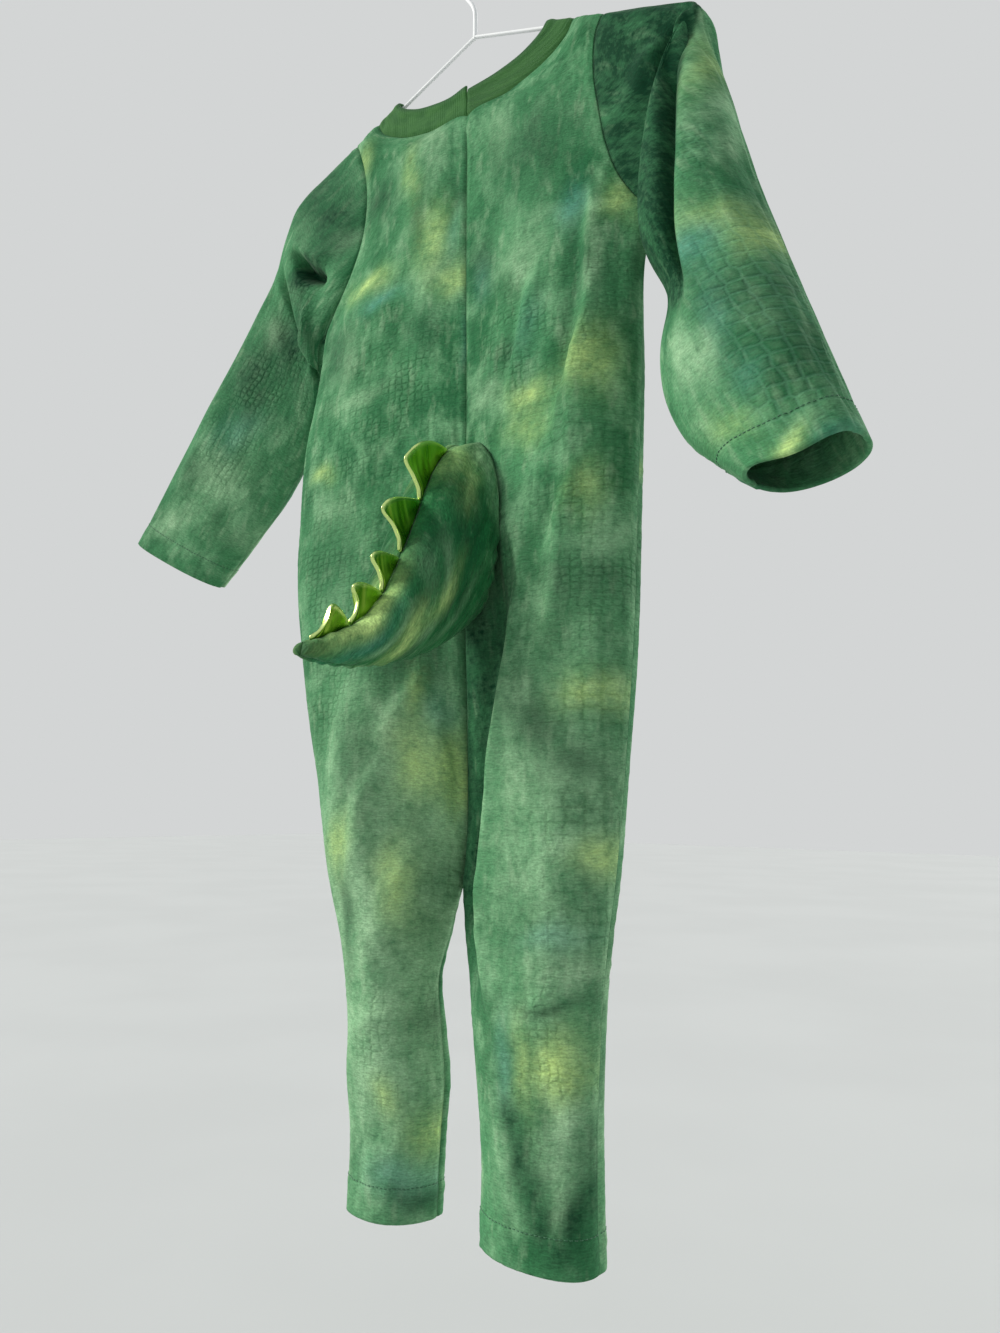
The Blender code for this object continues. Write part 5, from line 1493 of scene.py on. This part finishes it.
def spike_foils(material):
    """The foil triangles on the tail's ridge, each puffed between its sewn edges."""
    ridge, belly, _ = tail_rings()
    run = run_of(ridge, 0)
    out = unit(ridge - belly)

    def on_ridge(at):
        place, way = at_run(ridge, run, at), unit(at_run(out, run, at))
        along = unit(at_run(ridge, run, at + RIDGE_STEP) - place)
        return place, unit(way - np.dot(way, along) * along)

    pieces = []
    for number in range(len(SPIKES["start"])):
        names = ("start", "peak", "end", "reach")
        start, peak, end, reach = (float(SPIKES[name][number]) for name in names)
        foot, crest = [], []
        for u in SPIKE_STEPS:
            place, square = on_ridge(start + (end - start) * u)
            foot.append(place - square * 0.001)
            if u <= SPIKE_PEAK:
                at = start + (peak - start) * u / SPIKE_PEAK
                height = reach * math.sin(math.pi / 2 * u / SPIKE_PEAK) ** SPIKE_ROUND
            else:
                fall = (u - SPIKE_PEAK) / (1 - SPIKE_PEAK)
                at = peak + (end - peak) * fall
                height = reach * (1 - fall) ** SPIKE_HOLLOW
            place, square = on_ridge(at)
            crest.append(place + square * (SPIKE_SEAT + SPIKE_RIM + height))
        rows = np.array([foot, (np.array(foot) + np.array(crest)) / 2, crest])
        flat = np.broadcast_to(np.array([1.0, 0, 0]), rows.shape)
        middle, normal = finer(rows, flat, 12, 8)
        up, along = run_of(middle, 0), run_of(middle, 1)
        tall, wide = np.maximum(up[-1:], 1e-6), np.maximum(along[:, -1:], 1e-6)
        puff = np.sin(np.pi * (up / tall).clip(0, 1) ** 0.8) ** 0.5
        puff = puff * np.sin(np.pi * along / wide).clip(0) ** 0.4
        edge = tall - up
        rolled = bell(edge - FOIL_ROLL, FOIL_ROLL)
        thickness = FOIL + FOIL_PUFF * puff + FOIL_ROLL * rolled
        thickness += FOIL_CRINKLE * puff * crinkle(along + up * 0.4, 90 + number, 0.005, 0.011)
        bend = -FOIL_BEND * (up / tall) ** 2 * np.sin(np.pi * (along / wide).clip(0, 1))
        middle = middle + normal * bend[..., None]
        uv = np.stack([along, up], axis=-1)
        # Painted highlight along the rolled free edge and the end nearer the tail's root of each triangle
        painted_highlight = np.zeros((*along.shape, 4))
        painted_highlight[..., 0] = smooth(np.maximum(1 - edge / FOIL_PAINTED_HIGHLIGHT[0], 1 - along / FOIL_PAINTED_HIGHLIGHT[1]).clip(0))
        part = shell_part(middle, normal, thickness, uv, painted_highlight, painted_highlight)
        piece = piece_of(f"spike_{number + 1}_foil", [part], [material])
        pieces.append(own(piece, "lame", f"spike_{number + 1}"))
    return pieces


def bend_round(corner, before, after, radius, steps=9):
    corner, before, after = np.array(corner), np.array(before), np.array(after)
    back, on = unit(before - corner) * radius, unit(after - corner) * radius
    return [corner + back * (1 - t) ** 2 + on * t**2 for t in np.linspace(0, 1, steps)]


def hanger_wire(material):
    """The coated wire: a triangle with rounded ends, and the stem with its hook."""
    top = np.array([0, 0, CORNER_Z])
    bar_z = CORNER_Z - ARM_DROP - BAR_DROP
    loop = [top]
    for side in (1, -1):
        end = np.array([side * ARM_REACH, 0, CORNER_Z - ARM_DROP])
        low = np.array([end[0] - side * BAR_INSET, 0, bar_z])
        other = np.array([-low[0], 0, bar_z])
        arm = [top, end, low, other] if side > 0 else [other, low, end, top]
        loop += bend_round(arm[1], arm[0], arm[2], ARM_BEND)
        loop += bend_round(arm[2], arm[1], arm[3], ARM_BEND)
    loop = np.array(loop)
    centre = np.array([0, 0, STEM_WIRE - HOOK_RADIUS])
    sweep = np.linspace(HOOK_START, math.pi + HOOK_TAIL, 48)
    hook = [centre + HOOK_RADIUS * np.array([math.cos(t), 0, math.sin(t)]) for t in sweep]
    stem = [np.array([0, 0, CORNER_Z - STEM_FOOT]), np.array([0, 0, STEM_TOP - STEM_STRAIGHT])]
    lead = bend_round(np.array([0, 0, STEM_TOP]), stem[1], hook[0], NECK_BEND)
    parts = [tube_part(loop, WIRE, closed=True), tube_part(np.array(stem + lead + hook), STEM_WIRE)]
    return own(piece_of("hanger_wire", parts, [material]), "wire", "hanger")
def colour(code):
    """A screen colour as linear light."""
    channels = [int(code[k : k + 2], 16) / 255 for k in (1, 3, 5)]
    linear = [c / 12.92 if c <= 0.04045 else ((c + 0.055) / 1.055) ** 2.4 for c in channels]
    return (*linear, 1.0)


def add(tree, kind, sockets=None, **settings):
    """A node with its settings; each socket is joined to a node or a socket, or given a value."""
    made = tree.nodes.new("ShaderNode" + kind)
    for name, value in settings.items():
        setattr(made, name, value)
    for name, value in (sockets or {}).items():
        if isinstance(value, bpy.types.Node):
            value = value.outputs[0]
        if isinstance(value, bpy.types.NodeSocket):
            tree.links.new(value, made.inputs[name])
        else:
            made.inputs[name].default_value = value
    return made


def material_tree(name):
    material = bpy.data.materials.new(name)
    material.use_nodes = True
    material.node_tree.nodes.clear()
    return material, material.node_tree


def fields_of(tree, place, sizes):
    """One cloudy noise a row: its name, a cloud's width and height in mm, its shift, and how fine it is."""
    made = {}
    for name, wide, tall, shift, detail, rough in sizes:
        scale = (1000 / wide, 1000 / tall, 1)
        moved = add(tree, "Mapping", {"Vector": place, "Location": (shift, -shift, 0), "Scale": scale})
        uniform = {"Vector": moved, "Scale": 1.0, "Detail": detail, "Roughness": rough}
        made[name] = add(tree, "TexNoise", uniform)
    return made


def layered(tree, shade, fields, steps):
    """Lays each colour of the steps over the shade where its field goes from low to high."""
    for name, low, high, most, code in steps:
        reach = {0: fields[name], 1: low, 2: high, 3: 0.0, 4: most}
        share = add(tree, "MapRange", reach, interpolation_type="SMOOTHSTEP")
        shade = add(tree, "MixRGB", {"Fac": share, "Color1": shade, "Color2": colour(code)})
    return shade


def piled_up(tree, heights):
    """The sum of fields, each times its height in metres, as a bump."""
    total = 0.0
    for field, height in heights:
        total = add(tree, "Math", {0: field, 1: height, 2: total}, operation="MULTIPLY_ADD")
    return add(tree, "Bump", {"Height": total, "Strength": 1.0, "Distance": 1.0})


def surface(tree, uniform, **sockets):
    """The surface itself and the way out. Values that are the same all over are set on its own sockets."""
    shader = add(tree, "BsdfPrincipled", {name.replace("_", " "): value for name, value in sockets.items()})
    for name, value in uniform.items():
        shader.inputs[name].default_value = value
    add(tree, "OutputMaterial", {"Surface": shader})


# Polyester velour: knitted with a short cut pile, tie-dyed in greens, then pressed hot with a
# reptile-skin roller. The pile gives a soft sheen at the rim and a fine speckle that lies in short
# level dashes; the roller leaves flat lines round low blocks and pebbles; the dye blooms.
VELOUR_NOISE = [
    ("bloom", 60, 90, 0, 3, 0.55), ("cloud", 26, 38, 3, 4, 0.6), ("drip", 10, 30, 7, 3, 0.55),
    ("mottle", 8, 6, 2, 4, 0.65), ("nap", 4.2, 1.2, 9, 2, 0.55), ("speck", 1.4, 1.1, 5, 1, 0.5),
    ("worn", 30, 26, 8, 2, 0.6), ("wrinkle", 16, 22, 4, 3, 0.55),
]
PLUSH_NOISE = [
    ("bloom", 40, 30, 0, 3, 0.55), ("cloud", 18, 14, 3, 4, 0.62), ("drip", 14, 8, 7, 3, 0.6),
    ("mottle", 7, 6, 2, 4, 0.68), ("nap", 3.6, 1.6, 9, 2, 0.6), ("speck", 1.4, 1.2, 5, 1, 0.5),
    ("worn", 30, 26, 8, 2, 0.6), ("wrinkle", 14, 11, 4, 4, 0.62),
]
# The pressed blocks and pebbles: width and height in mm, how uneven they are, and how wide a line is
SKIN_CELLS = [(12.5, 9.5, 0.28, 0.16), (6.8, 5.6, 0.38, 0.22)]
VELOUR_DYES = [
    ("bloom", 0.36, 0.6, 1, "#48875a"), ("cloud", 0.44, 0.7, 0.85, "#72a67a"),
    ("drip", 0.52, 0.76, 0.4, "#9fc29a"), ("drip", 0.46, 0.26, 0.55, "#2c6440"),
    ("mottle", 0.48, 0.24, 0.5, "#2c6440"),
]
PLUSH_DYES = [
    ("bloom", 0.36, 0.6, 0.8, "#277743"), ("cloud", 0.46, 0.7, 0.75, "#458c56"),
    ("drip", 0.56, 0.76, 0.5, "#79a97c"), ("mottle", 0.48, 0.24, 0.6, "#154a2b"),
]


def velour(name, plush=False):
    material, tree = material_tree(name)
    uv = add(tree, "UVMap", uv_map="metres")
    dye = add(tree, "Attribute", attribute_name="dye")
    layer = add(tree, "SeparateColor", {"Color": dye}).outputs
    skin = add(tree, "Attribute", attribute_name="skin")
    press = add(tree, "SeparateColor", {"Color": skin}).outputs
    fields = fields_of(tree, uv, PLUSH_NOISE if plush else VELOUR_NOISE)
    shade = colour("#195f33") if plush else colour("#2a6a41")
    shade = layered(tree, shade, fields, PLUSH_DYES if plush else VELOUR_DYES)

    # The edges of the dye patches bleed unevenly
    bleed = add(tree, "Math", {0: fields["cloud"], 1: 0.8}, operation="MULTIPLY")
    bleed = add(tree, "Math", {0: fields["mottle"], 1: 0.6, 2: bleed}, operation="MULTIPLY_ADD")
    bleed = add(tree, "MapRange", {0: bleed, 1: 0.50, 2: 0.90, 3: 0.35, 4: 1.35})
    # The deep layer also carries painted shade in the leg valley, on the right sleeve's cap and in the left
    # armpit, and the pale layer a painted highlight beside the back's step fold
    patches = [
        (layer["Blue"], 0.70, "#569c8c"), (layer["Red"], 0.75, "#abd2a6"),
        (layer["Green"], 1.0, "#073c24"), (dye.outputs["Alpha"], 0.90, "#b9d886"),
    ]
    for value, most, code in patches:
        share = add(tree, "Math", {0: value, 1: bleed}, operation="MULTIPLY")
        share = add(tree, "Math", {0: share, 1: most}, operation="MULTIPLY", use_clamp=True)
        shade = add(tree, "MixRGB", {"Fac": share, "Color1": shade, "Color2": colour(code)})

    # The pile: short level dashes with a finer speckle over them
    pile = add(tree, "Math", {0: fields["nap"], 1: 0.65}, operation="MULTIPLY")
    pile = add(tree, "Math", {0: fields["speck"], 1: 0.35, 2: pile}, operation="MULTIPLY_ADD")
    tone = add(tree, "MapRange", {0: pile, 1: 0.32, 2: 0.68, 3: 0.72, 4: 1.28})
    grey = add(tree, "CombineColor", {"Red": tone, "Green": tone, "Blue": tone})
    shade = add(tree, "MixRGB", {"Fac": 1.0, "Color1": shade, "Color2": grey}, blend_type="MULTIPLY")

    # The pressed skin: rows of blocks, and rounder pebbles elsewhere
    bend = add(tree, "Mapping", {"Vector": uv, "Scale": (70, 70, 1)})
    bend = add(tree, "TexNoise", {"Vector": bend, "Scale": 1.0, "Detail": 2.0}).outputs["Color"]
    bent = add(tree, "VectorMath", {0: bend, 1: (0.0050, 0.0050, 0), 2: uv}, operation="MULTIPLY_ADD")
    lines, domes = [], []
    for wide, tall, loose, line in SKIN_CELLS:
        cell = add(tree, "Mapping", {"Vector": bent, "Scale": (1000 / wide, 1000 / tall, 1)})
        cell = {"Vector": cell, "Scale": 1.0, "Randomness": loose}
        rim = add(tree, "TexVoronoi", cell, voronoi_dimensions="2D", feature="DISTANCE_TO_EDGE")
        rim = rim.outputs["Distance"]
        near = {0: rim, 1: 0.02, 2: line, 3: 1.0, 4: 0.0}
        lines.append(add(tree, "MapRange", near, interpolation_type="SMOOTHSTEP"))
        domes.append(add(tree, "MapRange", {0: rim, 1: 0.0, 2: 0.42}, interpolation_type="SMOOTHSTEP"))
    blocks = press["Red"]
    worn = add(tree, "MapRange", {0: fields["worn"], 1: 0.36, 2: 0.60})
    least = 0.0 if plush else 0.12
    pebbles = add(tree, "Math", {0: press["Green"], 1: 0.85, 2: least}, operation="MULTIPLY_ADD")
    pebbles = add(tree, "Math", {0: pebbles, 1: worn}, operation="MULTIPLY")
    for shapes in (lines, domes):
        for k, part in enumerate((blocks, pebbles)):
            shapes[k] = add(tree, "Math", {0: shapes[k], 1: part}, operation="MULTIPLY")
    line = add(tree, "Math", {0: lines[0], 1: lines[1]}, operation="MAXIMUM")
    dome = add(tree, "Math", {0: domes[0], 1: domes[1]}, operation="MAXIMUM")
    tint = colour("#a9bcab")
    darker = add(tree, "MixRGB", {"Fac": 1.0, "Color1": shade, "Color2": tint}, blend_type="MULTIPLY")
    paler = add(tree, "MixRGB", {"Fac": 0.45, "Color1": shade, "Color2": colour("#7fb593")})
    pressed = add(tree, "MixRGB", {"Fac": press["Blue"], "Color1": darker, "Color2": paler})
    most = add(tree, "Math", {0: line, 1: 0.40}, operation="MULTIPLY")
    shade = add(tree, "MixRGB", {"Fac": most, "Color1": shade, "Color2": pressed})
    high = add(tree, "Math", {0: dome, 1: 0.18}, operation="MULTIPLY")
    shade = add(tree, "MixRGB", {"Fac": high, "Color1": shade, "Color2": colour("#7fae84")})
    seam = add(tree, "MapRange", {0: skin.outputs["Alpha"], 1: 0.2, 2: 1.0, 3: 0.0, 4: 0.5})
    tint = colour("#93a596")
    shadow = add(tree, "MixRGB", {"Fac": 1.0, "Color1": shade, "Color2": tint}, blend_type="MULTIPLY")
    shade = add(tree, "MixRGB", {"Fac": seam, "Color1": shade, "Color2": shadow})

    heights = [(dome, 0.00035), (line, -0.00025), (pile, 0.00035)]
    heights.append((fields["wrinkle"], 0.0030 if plush else 0.0018))
    uniform = {"Specular IOR Level": 0.12, "Sheen Weight": 0.18 if plush else 0.14, "Sheen Roughness": 0.35}
    uniform["Sheen Tint"] = colour("#bfe0c0")
    surface(tree, uniform, Base_Color=shade, Roughness=0.88, Normal=piled_up(tree, heights))
    return material


def thread(name, code):
    """Spun polyester sewing thread: two plies, so a fine slanting line runs along each stitch."""
    material, tree = material_tree(name)
    place = add(tree, "TexCoord").outputs["Object"]
    ply = add(tree, "TexWave", {"Vector": place, "Scale": 1400.0, "Distortion": 1.0}).outputs["Fac"]
    share = add(tree, "Math", {0: ply, 1: 0.4}, operation="MULTIPLY")
    shade = add(tree, "MixRGB", {"Fac": share, "Color1": colour(code), "Color2": colour("#1f4a32")})
    surface(tree, {"Sheen Weight": 0.2}, Base_Color=shade, Roughness=0.6)
    return material


def rib_knit(name):
    """Plain interlock jersey for the neckband: fine vertical wales 1 mm apart, matt, a single green, with
    painted shade along its rolled free edge.
    """
    material, tree = material_tree(name)
    uv = add(tree, "UVMap", uv_map="metres")
    skin = add(tree, "Attribute", attribute_name="skin").outputs["Alpha"]
    rows = add(tree, "Mapping", {"Vector": uv, "Scale": (133, 20, 1)})
    uniform = {"Vector": rows, "Scale": 1.0, "Distortion": 0.6, "Detail": 1.0}
    wale = add(tree, "TexWave", uniform).outputs["Fac"]
    fields = fields_of(tree, uv, [("uneven", 18, 12, 0, 3, 0.6), ("fuzz", 1.2, 1.2, 3, 2, 0.6)])
    steps = [("uneven", 0.3, 0.7, 1.0, "#417639"), ("fuzz", 0.3, 0.75, 0.25, "#2b5a2f")]
    shade = layered(tree, colour("#30652f"), fields, steps)
    # Painted shade along the band's rolled free edge
    fold = add(tree, "MapRange", {0: skin, 1: 0.3, 2: 0.9, 3: 0.0, 4: 0.6})
    shade = add(tree, "MixRGB", {"Fac": fold, "Color1": shade, "Color2": colour("#24502b")})
    bump = piled_up(tree, [(wale, 0.00012), (fields["fuzz"], 0.00025), (fields["uneven"], 0.0008)])
    uniform = {"Specular IOR Level": 0.15, "Sheen Weight": 0.1}
    surface(tree, uniform, Base_Color=shade, Roughness=0.85, Normal=bump)
    return material


def lame(name):
    """Foil-coated tricot: a lime metal film on a thin knit. It mirrors in broken bands, because the
    film creases finely across each triangle, and it goes dark where it turns away."""
    material, tree = material_tree(name)
    uv = add(tree, "UVMap", uv_map="metres")
    skin = add(tree, "Attribute", attribute_name="skin")
    painted_highlight = add(tree, "SeparateColor", {"Color": skin})
    fields = fields_of(tree, uv, [("crease", 14, 18, 0, 0, 0.4)])
    shade = layered(tree, colour("#7fae2e"), fields, [("crease", 0.36, 0.64, 1.0, "#a5cf4a")])
    # Painted highlight along each triangle's rolled edge, in a pale lime
    shade = add(tree, "MixRGB", {"Fac": painted_highlight, "Color1": shade, "Color2": colour("#d6ec93")})
    bump = piled_up(tree, [(fields["crease"], 0.0012)])
    rough = add(tree, "MapRange", {0: fields["crease"], 1: 0.3, 2: 0.7, 3: 0.26, 4: 0.36})
    surface(tree, {"Metallic": 1.0}, Base_Color=shade, Roughness=rough, Normal=bump)
    return material


def woven_tape(name):
    """Zip tape: narrow woven polyester, a fine herringbone, with a nylon coil of the same green."""
    material, tree = material_tree(name)
    uv = add(tree, "UVMap", uv_map="metres")
    rows = add(tree, "Mapping", {"Vector": uv, "Scale": (50, 180, 1)})
    weft = add(tree, "TexWave", {"Vector": rows, "Scale": 1.0, "Distortion": 0.4}).outputs["Fac"]
    fields = fields_of(tree, uv, [("wear", 6, 10, 0, 3, 0.6)])
    shade = add(tree, "MixRGB", {"Fac": weft, "Color1": colour("#2d6240"), "Color2": colour("#3f7a52")})
    shade = layered(tree, shade, fields, [("wear", 0.35, 0.7, 0.3, "#27543a")])
    surface(tree, {}, Base_Color=shade, Roughness=0.7, Normal=piled_up(tree, [(weft, 0.00015)]))
    return material


def coated_wire(name):
    """Steel wire dipped in white PVC: satin, a little greyer where hands took hold of it."""
    material, tree = material_tree(name)
    place = add(tree, "TexCoord").outputs["Object"]
    fields = fields_of(tree, place, [("grime", 50, 50, 2, 3, 0.6)])
    shade = layered(tree, colour("#f3f4f5"), fields, [("grime", 0.45, 0.75, 0.5, "#dfe2e4")])
    rough = add(tree, "MapRange", {0: fields["grime"], 1: 0.3, 2: 0.7, 3: 0.40, 4: 0.55})
    surface(tree, {"Specular IOR Level": 0.3}, Base_Color=shade, Roughness=rough)
    return material


def floor_paint(name):
    """Matt emulsion on a smooth floor, pale grey, with hardly any texture."""
    material, tree = material_tree(name)
    place = add(tree, "TexCoord").outputs["Object"]
    fields = fields_of(tree, place, [("uneven", 600, 600, 0, 3, 0.5)])
    shade = layered(tree, colour("#bdbfbf"), fields, [("uneven", 0.3, 0.7, 1.0, "#c0c2c2")])
    surface(tree, {}, Base_Color=shade, Roughness=0.9)
    return material


# The room: where the camera stands and looks, the soft light, and the floor
CAMERA_PLACE = (-0.4799, 0.5938, -0.7263)
CAMERA_YAW = math.radians(36.857)
CAMERA_PITCH = math.radians(7.914)
CAMERA_ROLL = math.radians(0.742)
CAMERA_LENS = 27.03
FLOOR_Z = -1.30
PALE = "#d3d5d5"


def put_camera():
    yaw, pitch, roll = CAMERA_YAW, CAMERA_PITCH, CAMERA_ROLL
    ahead = np.array([math.sin(yaw), -math.cos(yaw), 0])
    right = np.array([-math.cos(yaw), -math.sin(yaw), 0])
    up = np.array([0, 0, 1.0])
    look = ahead * math.cos(pitch) + up * math.sin(pitch)
    top = up * math.cos(pitch) - ahead * math.sin(pitch)
    level = right * math.cos(roll) + top * math.sin(roll)
    top = top * math.cos(roll) - right * math.sin(roll)
    lens = bpy.data.cameras.new("camera")
    lens.lens = CAMERA_LENS
    lens.sensor_width = 36
    lens.clip_start = 0.01
    camera = bpy.data.objects.new("camera", lens)
    bpy.context.scene.collection.objects.link(camera)
    matrix = np.eye(4)
    matrix[:3, 0], matrix[:3, 1], matrix[:3, 2], matrix[:3, 3] = level, top, -look, CAMERA_PLACE
    camera.matrix_world = Matrix(matrix.tolist())
    bpy.context.scene.camera = camera


def put_light(name, place, spread, strength, code):
    """A far soft light that shines from this place towards the costume."""
    light = bpy.data.lights.new(name, "SUN")
    light.angle = math.radians(spread)
    light.energy = strength
    light.color = colour(code)[:3]
    lamp = bpy.data.objects.new(name, light)
    bpy.context.scene.collection.objects.link(lamp)
    lamp.location = place
    lamp.rotation_euler = (-Vector(place)).to_track_quat("-Z", "Y").to_euler()


def put_room():
    world = bpy.data.worlds.new("room")
    world.use_nodes = True
    tree = world.node_tree
    tree.nodes.clear()
    place = add(tree, "TexCoord").outputs["Generated"]
    height = add(tree, "SeparateXYZ", {"Vector": place}).outputs["Z"]
    rise = add(tree, "MapRange", {0: height, 1: -0.4, 2: 0.8})
    lit = add(tree, "MixRGB", {"Fac": rise, "Color1": colour("#5d615f"), "Color2": colour("#d4d8da")})
    seen = add(tree, "LightPath").outputs["Is Camera Ray"]
    shade = add(tree, "MixRGB", {"Fac": seen, "Color1": lit, "Color2": colour(PALE)})
    back = add(tree, "Background", {"Color": shade, "Strength": 1.0})
    add(tree, "OutputWorld", {"Surface": back})
    bpy.context.scene.world = world
    mesh = bpy.data.meshes.new("floor")
    reach = 14.0
    corners = [(x * reach, y * reach, FLOOR_Z) for x, y in ((-1, -1), (1, -1), (1, 1), (-1, 1))]
    mesh.from_pydata(corners, [], [(0, 1, 2, 3)])
    mesh.materials.append(floor_paint("matt_floor"))
    floor = bpy.data.objects.new("floor", mesh)
    bpy.context.scene.collection.objects.link(floor)
    put_light("window", (1.5, 1.0, 1.0), 24, 2.9, "#fffdf6")
    put_light("front", (-0.9, -2.0, 0.8), 40, 1.6, "#fffdf8")


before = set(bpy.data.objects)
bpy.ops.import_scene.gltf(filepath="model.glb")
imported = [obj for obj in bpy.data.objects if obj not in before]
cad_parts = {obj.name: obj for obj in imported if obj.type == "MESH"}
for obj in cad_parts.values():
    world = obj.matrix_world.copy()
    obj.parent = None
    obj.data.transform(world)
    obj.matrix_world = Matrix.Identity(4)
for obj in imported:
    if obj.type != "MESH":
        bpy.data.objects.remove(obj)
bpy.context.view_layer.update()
bpy.context.scene.view_settings.view_transform = "Standard"
put_camera()
put_room()

cloth_skins = [velour("dyed_velour"), thread("sewing_thread", "#2f6b47")]
plush_skins = [velour("tail_velour", plush=True)]
panels = Panels()
sleeves = {side: sleeve_grid(panels, side) for side in (LEFT, RIGHT)}
band = neckband_grid(panels)
edges = {}
top_rows = ARMHOLE_ROWS * ROW_STEPS + 1
for seed, key in enumerate(panels.keys):
    piece, middle = panel_cloth(panels, key, 21 + 10 * seed, cloth_skins)
    edges[key] = middle[-top_rows:, -1]
for side in (LEFT, RIGHT):
    piece = sleeve_cloth(side, *sleeves[side], edges, 61 + 10 * (side > 0), cloth_skins)
piece = neckband_cloth(*band, rib_knit("neckband_knit"), cloth_skins[1])
tape, coil = zip_tape(panels, woven_tape("zip_tape"))
for side in (LEFT, RIGHT):
    tail_plush(panels, side, 33 + side, plush_skins)
for foil in spike_foils(lame("lime_foil")):
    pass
hanger_wire(coated_wire("white_coated_wire"))
